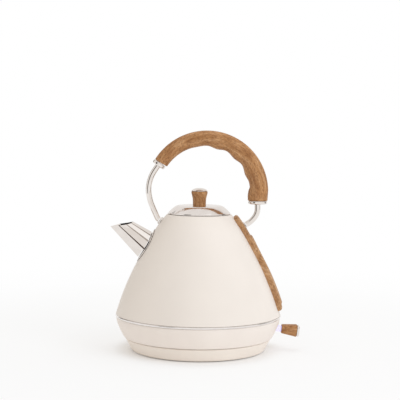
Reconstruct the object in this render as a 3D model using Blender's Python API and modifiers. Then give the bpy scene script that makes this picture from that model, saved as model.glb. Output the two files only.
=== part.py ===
"""Electric kettle: a pyramid-shaped steel jug with an arched handle, on a round power base.

All sizes are metres. +Z is up and z = 0 is the surface that the base stands on. The
origin is on the jug's axis. The spout points to -X, and the water gauge and the switch
lever are on +X. Every object is one separate piece of the real kettle.
"""
import math

import bmesh
import bpy
from mathutils import Matrix, Vector

# Driving dimensions
GAP = 0.0003                    # play left between pieces that touch
PLAY = 0.00008                  # running clearance of the switch pivot, on the radius
ROUND_SEGMENTS = 48             # large turned pieces
INNER_SEGMENTS = 36             # lid pieces and hidden rings
SMALL_SEGMENTS = 20             # knobs and collars
SCREW_SEGMENTS = 10

# Jug wall: height, radius and outward slope for each unit of fall
WALL_STATIONS = [
    (0.1662, 0.0394, 0.95),
    (0.1473, 0.0538, 0.60),
    (0.1058, 0.0764, 0.53),
    (0.0841, 0.0868, 0.43),
    (0.0448, 0.1008, 0.30),
]
WALL_THICKNESS = 0.0009
NECK_RADIUS = 0.0334            # opening that the lid plugs
RIM_TOP = 0.1664                # top of the jug's rolled rim
LID_RADIUS = 0.0381
LID_TOP = 0.1778

HOUSING_FOOT = 0.0171           # underside of the jug's plastic skirt
HOUSING_TOP = 0.0414
BASE_TOP = 0.0165
BASE_UNDERSIDE = 0.0012
FOOT_CIRCLE = 0.066
BASE_SCREW_CIRCLE = 0.040
HOUSING_SCREW_CIRCLE = 0.070
POST_RADIUS = 0.0034            # screw posts
SCREW_BORE = 0.0018
SCREW_RADIUS = 0.0014
SOCKET_RADIUS = 0.0122
STEAM_ANGLE = 30.0              # degrees round the jug, from +X
STEAM_REACH = 0.0893            # the steam tube's distance from the axis, below the floor

# Spout: corner lines from the foot on the jug to the mouth, one side of the middle plane
SPOUT_FOOT = [(0.1120, 0.0), (0.1240, 0.0155), (0.1335, 0.0145), (0.1400, 0.0095), (0.1434, 0.0)]
SPOUT_MOUTH = [
    (-0.1090, 0.0, 0.1502),
    (-0.0980, 0.0110, 0.1526),
    (-0.0885, 0.0122, 0.1540),
    (-0.0826, 0.0084, 0.1554),
    (-0.0808, 0.0, 0.1564),
]
SPOUT_WALL = 0.0009
SPOUT_LIFT = 0.0017             # foot of the spout above the jug's wall, over its flange
FLANGE_HEIGHT = 0.1274          # height of the flange's centre on the wall
FLANGE_HALF = (0.0205, 0.0196)  # half width, half height
FILTER_HEIGHT = 0.1278          # height of the filter's centre and of the hole before it
FILTER_RADIUS = 0.0145
SPOUT_HOLE_RADIUS = 0.0125

# Handle: an arc in the XZ plane, gripped by two wood-look halves
ARC_CENTRE = Vector((0.0091, 0.0, 0.1938))
ARC_RADIUS = 0.0750             # outer edge of the grip
ARC_BEYOND = 8.0                # degrees past 0 at which the grip's tapers end
GRIP_FRONT = 148.2              # degrees along the arc, 0 at +X
GRIP_GROOVES = (91.0, 12.0)     # first and last finger groove
GROOVE_PITCH = 26.3
GRIP_END_HEIGHT = 0.1840
GRIP_END_X = (0.0592, 0.0834)
GRIP_REAR = 2.0                 # degrees at which the arc runs into the straight end
TUBE_RADIUS = 0.0035
CORE_FRONT = 0.0673             # the bar's distance from the arc centre, front and rear
CORE_REAR = 0.0622
COLLAR_FRONT = (0.0085, 0.0046)    # radius, thickness
COLLAR_REAR = (0.0118, 0.0042)
COLLAR_TILT = -4.0              # degrees that the front collar leans out of the arc

# Rear strip with the water gauge
STRIP_TOP, STRIP_FOOT = 0.1630, 0.0505
STRIP_HALF_WIDTH = 0.0210       # at its foot
STRIP_NARROW = 0.0150           # half width of its upper part
STRIP_WIDENS = (0.1150, 0.0780) # heights between which it grows wider
STRIP_THICKNESS = 0.0048
FRAME_RISE = 0.0015             # the gauge frame stands proud of the strip
FRAME_TOP, FRAME_FOOT = 0.1374, 0.0580
GAUGE_TOP, GAUGE_FOOT = 0.1300, 0.0670
GAUGE_HALF_WIDTH = 0.0055

# Switch lever, in its own frame: +X along the lever from the pivot
SWITCH_PIVOT = Vector((0.0800, 0.0, 0.0287))
SWITCH_TILT = 6.7               # degrees below the horizontal when switched on
STEM_END = 0.0226
PADDLE_END = 0.0417
CAP_END = 0.0451
PIN_RADIUS = 0.0020

# name: colour, roughness, metallic, alpha
FINISHES = {
    "cream_enamel": ((0.82, 0.76, 0.69), 0.45, 0.0, 1.0),
    "cream_plastic": ((0.80, 0.74, 0.67), 0.50, 0.0, 1.0),
    "chrome": ((0.80, 0.79, 0.78), 0.10, 1.0, 1.0),
    "brushed_steel": ((0.62, 0.61, 0.60), 0.35, 1.0, 1.0),
    "wood_look": ((0.42, 0.21, 0.09), 0.60, 0.0, 1.0),
    "black_plastic": ((0.02, 0.02, 0.02), 0.55, 0.0, 1.0),
    "clear_plastic": ((0.80, 0.78, 0.95), 0.10, 0.0, 0.35),
    "grey_rubber": ((0.18, 0.17, 0.16), 0.85, 0.0, 1.0),
    "silicone": ((0.75, 0.74, 0.72), 0.70, 0.0, 1.0),
    "brass": ((0.70, 0.50, 0.22), 0.30, 1.0, 1.0),
}


# ---------------------------------------------------------------- scene and helpers

def clear_scene():
    for old in list(bpy.data.objects):
        bpy.data.objects.remove(old, do_unlink=True)


def new_collection(name):
    made = bpy.data.collections.new(name)
    bpy.context.scene.collection.children.link(made)
    return made


def make_materials():
    made = {}
    for name, (colour, roughness, metallic, alpha) in FINISHES.items():
        material = bpy.data.materials.new(name)
        material.use_nodes = True
        shader = material.node_tree.nodes["Principled BSDF"]
        shader.inputs["Base Color"].default_value = (*colour, 1.0)
        shader.inputs["Roughness"].default_value = roughness
        shader.inputs["Metallic"].default_value = metallic
        shader.inputs["Alpha"].default_value = alpha
        made[name] = material
    return made


clear_scene()
PARTS = new_collection("electric_kettle")
CUTTERS = new_collection("cutters")
MATERIALS = make_materials()


def body_frame(name, location=(0.0, 0.0, 0.0), tilt=0.0):
    """An empty that the pieces of one moving body hang on."""
    empty = bpy.data.objects.new(name, None)
    empty.location = location
    empty.rotation_euler = (0.0, math.radians(tilt), 0.0)
    PARTS.objects.link(empty)
    return empty


def place(name, bm, finish, frame):
    """Make the bmesh one named piece, or a hidden cutter where there is no finish."""
    mesh = bpy.data.meshes.new(name)
    bm.to_mesh(mesh)
    bm.free()
    piece = bpy.data.objects.new(name, mesh)
    piece.parent = frame
    if finish is None:
        CUTTERS.objects.link(piece)
        piece.hide_render = True
        piece.display_type = "WIRE"
        return piece
    PARTS.objects.link(piece)
    mesh.materials.append(MATERIALS[finish])
    mesh.shade_smooth()
    mesh.set_sharp_from_angle(angle=math.radians(35))
    return piece


def turned(name, profile, finish, frame, ring=False, segments=ROUND_SEGMENTS):
    """Turn (radius, height) points about Z. They run down the outer side."""
    bm = bmesh.new()
    verts = [bm.verts.new((radius, 0.0, height)) for radius, height in profile]
    for first, second in zip(verts, verts[1:]):
        bm.edges.new((first, second))
    if ring:
        bm.edges.new((verts[-1], verts[0]))
    piece = place(name, bm, finish, frame)
    screw = piece.modifiers.new("turn", "SCREW")
    screw.steps = segments
    screw.render_steps = segments
    screw.use_merge_vertices = True
    screw.merge_threshold = 0.00001
    return piece


def aimed(direction, location=(0.0, 0.0, 0.0)):
    """The matrix that turns +Z to a direction and moves the origin."""
    turn = Vector(direction).to_track_quat("Z", "Y").to_matrix().to_4x4()
    return Matrix.Translation(location) @ turn


def rod(name, radius, start, end, finish, frame, segments=SMALL_SEGMENTS):
    """A round bar from one point to another."""
    start, end = Vector(start), Vector(end)
    bm = bmesh.new()
    bmesh.ops.create_cone(
        bm, cap_ends=True, segments=segments, radius1=radius, radius2=radius,
        depth=(end - start).length, matrix=aimed(end - start, (start + end) / 2))
    return place(name, bm, finish, frame)


def turned_along(name, profile, direction, location, finish, frame, segments=SMALL_SEGMENTS):
    """A turned piece whose axis points along a direction, standing on a point."""
    piece = turned(name, profile, finish, frame, segments=segments)
    piece.matrix_local = aimed(direction, location)
    return piece


def block(name, low, high, finish, frame, bevel=0.0):
    """A box between two corners, with rounded edges where a bevel is given."""
    low, high = Vector(low), Vector(high)
    size = high - low
    bm = bmesh.new()
    bmesh.ops.create_cube(bm, size=1.0, matrix=Matrix.Diagonal((*size, 1.0)))
    piece = place(name, bm, finish, frame)
    piece.location = (low + high) / 2
    if bevel:
        edge = piece.modifiers.new("edges", "BEVEL")
        edge.width = bevel
        edge.segments = 2
    return piece


def loft(name, rings, finish, frame, loop=False):
    """Skin rings of points that have the same count. A loop joins the last to the first."""
    bm = bmesh.new()
    rows = [[bm.verts.new(point) for point in ring] for ring in rings]
    count = len(rows[0])
    pairs = list(zip(rows, rows[1:]))
    if loop:
        pairs.append((rows[-1], rows[0]))
    else:
        bm.faces.new(rows[0])
        bm.faces.new(rows[-1])
    for near, far in pairs:
        for k in range(count):
            after = (k + 1) % count
            bm.faces.new((near[k], near[after], far[after], far[k]))
    bmesh.ops.recalc_face_normals(bm, faces=bm.faces)
    return place(name, bm, finish, frame)


def wire(name, points, radius, finish, frame, resolution=2):
    """A round bar along a list of points."""
    curve = bpy.data.curves.new(name, "CURVE")
    curve.dimensions = "3D"
    curve.bevel_depth = radius
    curve.bevel_resolution = resolution
    curve.use_fill_caps = True
    spline = curve.splines.new("POLY")
    spline.points.add(len(points) - 1)
    for slot, point in zip(spline.points, points):
        slot.co = (*point, 1.0)
    curve.materials.append(MATERIALS[finish])
    piece = bpy.data.objects.new(name, curve)
    piece.parent = frame
    PARTS.objects.link(piece)
    return piece


def boolean(piece, tool, operation="DIFFERENCE"):
    modifier = piece.modifiers.new(tool.name, "BOOLEAN")
    modifier.operation = operation
    modifier.object = tool
    modifier.solver = "EXACT"


def smooth_path(points, steps):
    """Points along a Catmull-Rom curve through the given ones."""
    points = [Vector(point) for point in points]
    padded = [2 * points[0] - points[1]] + points + [2 * points[-1] - points[-2]]
    path = []
    for k in range(1, len(padded) - 2):
        before, start, end, after = padded[k - 1:k + 3]
        for step in range(steps):
            t = step / steps
            path.append(0.5 * (2 * start + (end - before) * t
                               + (2 * before - 5 * start + 4 * end - after) * t * t
                               + (3 * start - before - 3 * end + after) * t ** 3))
    path.append(points[-1])
    return path


# ---------------------------------------------------------------- the jug's surface

def wall_span(height):
    """The two wall stations around a height, and how far down between them it is."""
    spans = list(zip(WALL_STATIONS, WALL_STATIONS[1:]))
    for upper, lower in spans:
        if height >= lower[0]:
            break
    return upper, lower, (upper[0] - height) / (upper[0] - lower[0])


def wall_radius(height):
    upper, lower, t = wall_span(height)
    drop = upper[0] - lower[0]
    return ((2 * t ** 3 - 3 * t ** 2 + 1) * upper[1] + (t ** 3 - 2 * t ** 2 + t) * drop * upper[2]
            + (3 * t ** 2 - 2 * t ** 3) * lower[1] + (t ** 3 - t ** 2) * drop * lower[2])


def wall_normal(height):
    """The outward normal as (radial, vertical) parts."""
    step = 0.0002
    slope = (wall_radius(height - step) - wall_radius(height + step)) / (2 * step)
    length = math.hypot(1.0, slope)
    return 1.0 / length, slope / length


def on_wall(height, offset, lift, side):
    """A point over the wall. Offset is sideways in Y, lift is along the normal."""
    radial, vertical = wall_normal(height)
    angle = math.asin(offset / wall_radius(height))
    reach = wall_radius(height) + lift * radial
    return Vector((side * reach * math.cos(angle), reach * math.sin(angle),
                   height + lift * vertical))


def wall_direction(height, side):
    radial, vertical = wall_normal(height)
    return Vector((side * radial, 0.0, vertical))


def wall_patch(name, stations, inner, outer, side, finish, frame, columns=4, edge=0.0):
    """A sheet that follows the wall. Stations are (height, half width, extra lift)."""
    rings = []
    for height, half, extra in stations:
        spread = [half * (2 * k / columns - 1) for k in range(columns + 1)]
        near = [on_wall(height, y, inner, side) for y in spread]
        shrink = max(half - edge, half * 0.5) / half
        far = [on_wall(height, y * shrink, outer + extra, side) for y in reversed(spread)]
        rings.append(near + far)
    return loft(name, rings, finish, frame)


def oval_stations(centre, half_width, half_height, count=10):
    """Stations of an oval on the wall, for wall_patch."""
    stations = []
    for k in range(count + 1):
        angle = math.pi * (k + 0.35) / (count + 0.7)
        stations.append((centre + half_height * math.cos(angle),
                         half_width * math.sin(angle), 0.0))
    return stations


# ---------------------------------------------------------------- power base

def build_power_base():
    frame = body_frame("power_base")
    housing = turned("base_housing", [
        (0.0886, BASE_TOP), (0.0895, 0.0154), (0.0862, 0.0095), (0.0837, 0.0046),
        (0.0826, 0.0024), (0.0812, 0.0012), (0.0796, 0.0009), (0.0778, 0.0009),
        (0.0778, 0.0036), (0.0810, 0.0040), (0.0839, 0.0095), (0.0862, 0.0138),
        (0.0145, 0.0138), (0.0145, 0.0156), (0.0840, 0.0156), (0.0850, BASE_TOP),
    ], "cream_plastic", frame, ring=True)
    cover = turned("base_cover", [
        (0.0, 0.0032), (0.0774, 0.0032), (0.0774, BASE_UNDERSIDE), (0.0, BASE_UNDERSIDE),
    ], "cream_plastic", frame)
    turned("base_connector", [
        (0.0, 0.0200), (0.0032, 0.0200), (0.0032, 0.0300), (0.0084, 0.0300),
        (0.0090, 0.0294), (0.0090, 0.0168), (0.0139, 0.0168), (0.0139, 0.0135),
        (0.0180, 0.0135), (0.0180, 0.0115), (0.0, 0.0115),
    ], "black_plastic", frame, segments=SMALL_SEGMENTS)
    turned("connector_ring", [
        (0.0106, 0.0260), (0.0106, 0.0171), (0.0093, 0.0171), (0.0093, 0.0260),
    ], "brass", frame, ring=True, segments=SMALL_SEGMENTS)
    rod("connector_pin", 0.0026, (0, 0, 0.0203), (0, 0, 0.0310), "brass", frame, 12)

    for number in range(4):
        angle = math.radians(90 * number)
        x, y = FOOT_CIRCLE * math.cos(angle), FOOT_CIRCLE * math.sin(angle)
        rod(f"base_foot_{number + 1}", 0.0062, (x, y, 0.0), (x, y, BASE_UNDERSIDE - GAP),
            "grey_rubber", frame, 16)

    for number in range(3):
        angle = math.radians(30 + 120 * number)
        x, y = BASE_SCREW_CIRCLE * math.cos(angle), BASE_SCREW_CIRCLE * math.sin(angle)
        post = rod(f"base_post_{number}", POST_RADIUS, (x, y, 0.0036), (x, y, 0.0148),
                   None, frame, SCREW_SEGMENTS)
        bore = rod(f"base_bore_{number}", SCREW_BORE, (x, y, 0.0000), (x, y, 0.0120),
                   None, frame, SCREW_SEGMENTS)
        boolean(housing, post, "UNION")
        boolean(housing, bore)
        boolean(cover, bore)
        turned_along(f"base_screw_{number + 1}", [
            (0.0, 0.0112), (SCREW_RADIUS, 0.0112), (SCREW_RADIUS, 0.0009), (0.0028, 0.0009),
            (0.0028, 0.0002), (0.0, 0.0002),
        ], (0, 0, 1), (x, y, 0.0), "brushed_steel", frame, SCREW_SEGMENTS)

    gland_height = 0.0080
    hole = rod("gland_hole", 0.0050, (0, 0.0700, gland_height), (0, 0.0950, gland_height),
               None, frame, 16)
    boolean(housing, hole)
    turned_along("cord_gland", [
        (0.0, 0.0125), (0.0030, 0.0125), (0.0030, 0.0155), (0.0038, 0.0155),
        (0.0046, 0.0100), (0.0046, 0.0), (0.0, 0.0),
    ], (0, 1, 0), (0, 0.0780, gland_height), "grey_rubber", frame, 12)


# ---------------------------------------------------------------- jug: shell and floor

def build_coupler():
    frame = body_frame("coupler_ring")
    turned("socket_ring", [
        (0.0176, 0.0330), (0.0182, 0.0324), (0.0182, 0.0180), (0.0176, 0.0174),
        (SOCKET_RADIUS + 0.0008, 0.0174), (SOCKET_RADIUS, 0.0182), (SOCKET_RADIUS, 0.0330),
    ], "black_plastic", frame, ring=True, segments=24)


def build_shell(frame):
    heights = [0.1662, 0.1600, 0.1540, 0.1473, 0.1300, 0.1058, 0.0930, 0.0780, 0.0620, 0.0448]
    outer = [(wall_radius(z), z) for z in heights]
    inner = []
    for z in reversed(heights[1:]):
        radial, vertical = wall_normal(z)
        inner.append((wall_radius(z) - WALL_THICKNESS * radial, z - WALL_THICKNESS * vertical))
    inner[0] = (inner[0][0], heights[-1])
    rim = [(0.0374, 0.1640), (0.0374, RIM_TOP), (0.0390, RIM_TOP)]
    shell = turned("body_shell", rim[2:] + outer + inner + rim[:2], "cream_enamel", frame,
                   ring=True)

    oval = oval_stations(FILTER_HEIGHT, SPOUT_HOLE_RADIUS, SPOUT_HOLE_RADIUS)
    spout_hole = wall_patch("spout_hole", oval, -0.0060, 0.0060, -1, None, frame)
    boolean(shell, spout_hole)
    for number, height in enumerate((0.0740, 0.1230)):
        port = rod(f"gauge_port_{number}", 0.0020, on_wall(height, 0, -0.004, 1),
                   on_wall(height, 0, 0.004, 1), None, frame, 12)
        boolean(shell, port)

    turned("neck_ring", [
        (0.0370, 0.1661), (0.0370, 0.1585), (NECK_RADIUS, 0.1585), (NECK_RADIUS, 0.1661),
    ], "brushed_steel", frame, ring=True, segments=INNER_SEGMENTS)
    turned("shoulder_ring", [
        (0.1003, 0.0445), (0.1014, 0.0437), (0.1014, 0.0425), (0.1003, 0.0417),
        (0.0978, 0.0417), (0.0978, 0.0445),
    ], "chrome", frame, ring=True)
    return shell


def build_floor(frame):
    plate = turned("heater_plate", [
        (0.0, 0.0426), (0.0940, 0.0426), (0.0954, 0.0440), (0.0954, 0.0500),
        (0.0968, 0.0500), (0.0968, 0.0412), (0.0, 0.0412),
    ], "brushed_steel", frame, segments=INNER_SEGMENTS)
    arc = [(0.038 * math.cos(math.radians(a)), 0.038 * math.sin(math.radians(a)), 0.0376)
           for a in range(30, 331, 20)]
    wire("heating_element", arc, 0.0031, "brushed_steel", frame, 1)
    block("control_unit", (-0.018, -0.015, 0.0335), (0.018, 0.015, 0.0408), "black_plastic",
          frame, 0.002)

    cover = turned("underside_cover", [
        (0.0882, 0.0206), (0.0882, 0.0186), (0.0186, 0.0186), (0.0186, 0.0206),
    ], "cream_plastic", frame, ring=True, segments=INNER_SEGMENTS)
    for number in range(3):
        angle = math.radians(60 + 120 * number)
        x, y = HOUSING_SCREW_CIRCLE * math.cos(angle), HOUSING_SCREW_CIRCLE * math.sin(angle)
        post = rod(f"floor_post_{number}", POST_RADIUS, (x, y, 0.0209), (x, y, 0.0420),
                   None, frame, SCREW_SEGMENTS)
        bore = rod(f"floor_bore_{number}", SCREW_BORE, (x, y, 0.0150), (x, y, 0.0330),
                   None, frame, SCREW_SEGMENTS)
        boolean(plate, post, "UNION")
        boolean(plate, bore)
        boolean(cover, bore)
        turned_along(f"housing_screw_{number + 1}", [
            (0.0, 0.0300), (SCREW_RADIUS, 0.0300), (SCREW_RADIUS, 0.0183), (0.0029, 0.0183),
            (0.0029, 0.0174), (0.0, 0.0174),
        ], (0, 0, 1), (x, y, 0.0), "brushed_steel", frame, SCREW_SEGMENTS)

    angle = math.radians(STEAM_ANGLE)
    route = [(wall_radius(z) - 0.007, z) for z in (0.150, 0.135, 0.115, 0.095, 0.075, 0.060)]
    route += [(0.0890, 0.0530), (STEAM_REACH, 0.0460), (STEAM_REACH, 0.0340)]
    wire("steam_tube", smooth_path([(r * math.cos(angle), r * math.sin(angle), z)
                                    for r, z in route], 2),
         0.0025, "silicone", frame, 1)
    x, y = STEAM_REACH * math.cos(angle), STEAM_REACH * math.sin(angle)
    steam_hole = rod("steam_hole", 0.0031, (x, y, 0.038), (x, y, 0.047), None, frame, 12)
    boolean(plate, steam_hole)


def build_lower_housing(frame):
    housing = turned("lower_housing", [
        (0.1003, HOUSING_TOP), (0.1005, 0.0392), (0.0994, 0.0343), (0.0975, 0.0293),
        (0.0952, 0.0244), (0.0926, 0.0194), (0.0917, 0.0177), (0.0908, HOUSING_FOOT),
        (0.0886, HOUSING_FOOT), (0.0902, 0.0198), (0.0928, 0.0248), (0.0951, 0.0296),
        (0.0970, 0.0346), (0.0980, 0.0390), (0.0980, HOUSING_TOP),
    ], "cream_plastic", frame, ring=True)
    slot = block("switch_slot", (0.0860, -0.0058, 0.0226), (0.1040, 0.0058, 0.0349), None, frame)
    boolean(housing, slot)

    ear_half, stem_space = 0.0084, 0.0054
    x, _, z = SWITCH_PIVOT
    bracket = block("switch_bracket", (x - 0.006, -ear_half, 0.0209),
                    (x + 0.006, ear_half, 0.0372), "black_plastic", frame)
    channel = block("switch_channel", (x - 0.010, -stem_space, 0.0190),
                    (x + 0.010, stem_space, 0.0355), None, frame)
    bore = rod("bracket_bore", PIN_RADIUS + PLAY, (x, -0.012, z), (x, 0.012, z), None, frame, 16)
    boolean(bracket, channel)
    boolean(bracket, bore)
    rod("switch_pivot_pin", PIN_RADIUS, (x, -ear_half, z), (x, ear_half, z), "brushed_steel",
        frame, 16)
    rod("indicator_lamp", 0.0024, (x - 0.016, 0, z), (x - 0.009, 0, z), "clear_plastic",
        frame, SCREW_SEGMENTS)


# ---------------------------------------------------------------- jug: spout

def spout_foot(lift):
    """The spout's foot polygon on the wall, all the way round."""
    side = [on_wall(height, -offset, lift, -1) for height, offset in SPOUT_FOOT]
    return side + [Vector((p.x, -p.y, p.z)) for p in reversed(side[1:-1])]


def spout_mouth():
    side = [Vector((x, -y, z)) for x, y, z in SPOUT_MOUTH]
    return side + [Vector((p.x, -p.y, p.z)) for p in reversed(side[1:-1])]


def build_spout(frame):
    bm = bmesh.new()
    foot = [bm.verts.new(point) for point in spout_foot(SPOUT_LIFT)]
    mouth = [bm.verts.new(point) for point in spout_mouth()]
    for k in range(len(foot)):
        after = (k + 1) % len(foot)
        bm.faces.new((foot[k], foot[after], mouth[after], mouth[k]))
    bm.normal_update()
    middle = Vector((-0.080, 0.0, 0.135))
    for face in bm.faces:
        if face.normal.dot(face.calc_center_median() - middle) < 0:
            face.normal_flip()
    spout = place("spout", bm, "chrome", frame)
    wall = spout.modifiers.new("wall", "SOLIDIFY")
    wall.thickness = SPOUT_WALL
    wall.offset = -1.0

    half_width, half_height = FLANGE_HALF
    rings = []
    for k in range(32):
        angle = 2 * math.pi * k / 32
        ring = []
        for reach, lift in ((1.0, GAP), (1.0, 0.0007), (0.96, 0.0010), (0.72, 0.0010), (0.72, GAP)):
            ring.append(on_wall(FLANGE_HEIGHT + reach * half_height * math.sin(angle),
                                reach * half_width * math.cos(angle), lift, -1))
        rings.append(ring)
    loft("spout_flange", rings, "chrome", frame, loop=True)

    oval = oval_stations(FILTER_HEIGHT, FILTER_RADIUS, FILTER_RADIUS)
    mesh_screen = wall_patch("spout_filter", oval, -0.0022, -0.0014, -1, "brushed_steel", frame)
    for number in range(5):
        offset = 0.0046 * (number - 2)
        half = 0.0100 - 0.0012 * abs(number - 2)
        centre = on_wall(FILTER_HEIGHT, offset, -0.0018, -1)
        slot = block(f"filter_slot_{number}", (-0.006, -0.0012, -half), (0.006, 0.0012, half),
                     None, frame)
        slot.matrix_local = (Matrix.Translation(centre)
                             @ Matrix.Rotation(math.radians(28), 4, "Y"))
        boolean(mesh_screen, slot)


# ---------------------------------------------------------------- jug: handle

def arc_point(degrees, reach):
    angle = math.radians(degrees)
    return ARC_CENTRE + reach * Vector((math.cos(angle), 0.0, math.sin(angle)))


def core_reach(degrees):
    share = (GRIP_FRONT - degrees) / (GRIP_FRONT + ARC_BEYOND)
    return CORE_FRONT + (CORE_REAR - CORE_FRONT) * share


def grip_thickness(degrees):
    """Radial thickness of the grip: a taper, finger bumps and a lip at the rear end."""
    first, last = GRIP_GROOVES
    if degrees > first:
        taper = 0.0172 + 0.0014 * (GRIP_FRONT - degrees) / (GRIP_FRONT - first)
        swell = 0.0005 * math.exp(-((degrees - 103.0) / 7.0) ** 2)
        return taper + swell
    taper = 0.0186 + 0.0037 * (first - degrees) / (first - last)
    if degrees > last:
        phase = 2 * math.pi * (first - degrees) / GROOVE_PITCH
        return taper + 0.0011 * (1 - math.cos(phase))
    lip = min(max((last - 4.0 - degrees) / 7.0, 0.0), 1.0)
    return 0.0223 + 0.0021 * lip * lip * (3 - 2 * lip)


def grip_half_width(degrees):
    share = (GRIP_FRONT - degrees) / (GRIP_FRONT + ARC_BEYOND)
    return 0.0083 + 0.0035 * share


def half_section(outer, inner, core, half_width, groove, sign, sides=7, groove_sides=3):
    """One half of the grip's round section, with the groove for the bar."""
    middle, radius = (outer + inner) / 2, (outer - inner) / 2
    across = Vector((0.0, sign, 0.0))
    split = across * (GAP / 2)
    ring = []
    for k in range(sides + 1):
        angle = math.pi * k / sides
        ring.append(middle + radius * math.cos(angle)
                    + across * (half_width * math.sin(angle)) + split)
    along = radius.normalized()
    for k in range(groove_sides + 1):
        angle = math.pi * k / groove_sides
        ring.append(core - along * (groove * math.cos(angle))
                    + across * (groove * math.sin(angle)) + split)
    return ring


def build_grip(frame):
    groove = TUBE_RADIUS + 0.0008
    steps = 30
    for name, sign in (("grip_near_half", -1), ("grip_far_half", 1)):
        rings = []
        for k in range(steps + 1):
            degrees = GRIP_FRONT + (GRIP_REAR - GRIP_FRONT) * k / steps
            outer = arc_point(degrees, ARC_RADIUS)
            inner = arc_point(degrees, ARC_RADIUS - grip_thickness(degrees))
            core = arc_point(degrees, core_reach(degrees))
            rings.append(half_section(outer, inner, core, grip_half_width(degrees), groove, sign))
        inner_x, outer_x = GRIP_END_X
        for height, spread in ((0.1885, 0.0002), (GRIP_END_HEIGHT, 0.0)):
            rings.append(half_section(
                Vector((outer_x + spread, 0, height)), Vector((inner_x - spread, 0, height)),
                Vector(((inner_x + outer_x) / 2, 0, height)), COLLAR_REAR[0], groove, sign))
        loft(name, rings, "wood_look", frame)

    core = [arc_point(a, core_reach(a)) for a in range(145, -3, -7)]
    wire("handle_core", core, TUBE_RADIUS - 0.0004, "brushed_steel", frame, 1)

    radius, thickness = COLLAR_FRONT
    foot, direction = front_collar_seat()
    collar("grip_collar_front", radius, thickness, direction, foot, frame)
    radius, thickness = COLLAR_REAR
    foot = Vector((sum(GRIP_END_X) / 2, 0, GRIP_END_HEIGHT - GAP))
    collar("grip_collar_rear", radius, thickness, (0, 0, -1), foot, frame)


def front_collar_seat():
    """Where the front collar stands, and the way it faces, a little outside the arc."""
    facing = math.radians(GRIP_FRONT + COLLAR_TILT)
    return (arc_point(GRIP_FRONT + 0.55, CORE_FRONT),
            Vector((math.cos(facing + math.pi / 2), 0.0, math.sin(facing + math.pi / 2))))


def collar(name, radius, thickness, direction, location, frame):
    """A rounded ring round the bar, against the end of the grip."""
    hole, edge = TUBE_RADIUS + 0.0004, 0.0010
    piece = turned(name, [
        (radius - edge, thickness), (radius, thickness - edge), (radius, edge),
        (radius - edge, 0.0), (hole, 0.0), (hole, thickness),
    ], "chrome", frame, ring=True, segments=SMALL_SEGMENTS)
    piece.matrix_local = aimed(direction, location)


def build_handle_tubes(frame, shell, strip):
    front_height, rear_height = 0.1575, 0.1506
    front_foot, rear_foot = GAP, STRIP_THICKNESS + 2 * GAP
    front_depth, rear_depth = 0.0020, 0.0010
    front_end = on_wall(front_height, 0, front_foot + front_depth + 2 * GAP, -1)
    rear_end = on_wall(rear_height, 0, rear_foot + rear_depth + 2 * GAP, 1)
    seat, direction = front_collar_seat()
    front = [seat - direction * 0.0032, seat, seat + direction * 0.0045,
             seat + direction * 0.0090, (-0.0575, 0, 0.2152), (-0.0599, 0, 0.2097),
             (-0.0618, 0, 0.2020), (-0.0622, 0, 0.1930), (-0.0602, 0, 0.1825),
             (-0.0574, 0, 0.1750), (-0.0540, 0, 0.1673), (-0.0521, 0, 0.1630),
             front_end + wall_direction(front_height, -1) * 0.0018, front_end]
    wire("handle_tube_front", smooth_path(front, 2), TUBE_RADIUS, "chrome", frame)
    rear_x = sum(GRIP_END_X) / 2
    rear = [(rear_x, 0, 0.1880), (rear_x, 0, 0.1830), (rear_x, 0, 0.1775),
            (0.0712, 0, 0.1720), (0.0699, 0, 0.1670), (0.0672, 0, 0.1625),
            rear_end + wall_direction(rear_height, 1) * 0.0055, rear_end]
    wire("handle_tube_rear", smooth_path(rear, 2), TUBE_RADIUS, "chrome", frame)

    for end, height, side, foot, depth, radius, holders in (
            ("front", front_height, -1, front_foot, front_depth, 0.0053, [shell]),
            ("rear", rear_height, 1, rear_foot, rear_depth, 0.0046, [shell, strip])):
        normal = wall_direction(height, side)
        seat = on_wall(height, 0, foot, side)
        hollow = rod(f"handle_foot_bore_{end}", SCREW_BORE, seat - normal * 0.001,
                     seat + normal * depth * 0.7, None, frame, SCREW_SEGMENTS)
        disc = turned_along(f"handle_foot_{end}", [
            (0.0, depth), (radius - 0.0011, depth), (radius - 0.0002, depth - 0.0006),
            (radius, 0.0), (0.0, 0.0),
        ], normal, seat, "chrome", frame, 16)
        boolean(disc, hollow)
        for holder in holders:
            hole = rod(f"handle_hole_{end}_{holder.name}", SCREW_BORE,
                       on_wall(height, 0, -0.003, side), on_wall(height, 0, 0.009, side),
                       None, frame, SCREW_SEGMENTS)
            boolean(holder, hole)
        reach = foot + 0.0017 + depth * 0.7
        turned_along(f"handle_screw_{end}", [
            (0.0, reach), (SCREW_RADIUS, reach), (SCREW_RADIUS, 0.0008),
            (0.0032, 0.0008), (0.0032, -0.0012), (0.0, -0.0012),
        ], normal, on_wall(height, 0, -0.0020, side), "brushed_steel", frame, SCREW_SEGMENTS)


# ---------------------------------------------------------------- jug: rear strip and gauge

def strip_half_width(height):
    """Half the strip's width: narrow above, wider towards its foot."""
    upper, lower = STRIP_WIDENS
    share = min(max((upper - height) / (upper - lower), 0.0), 1.0)
    return STRIP_NARROW + (STRIP_HALF_WIDTH - STRIP_NARROW) * share * share * (3 - 2 * share)


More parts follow.
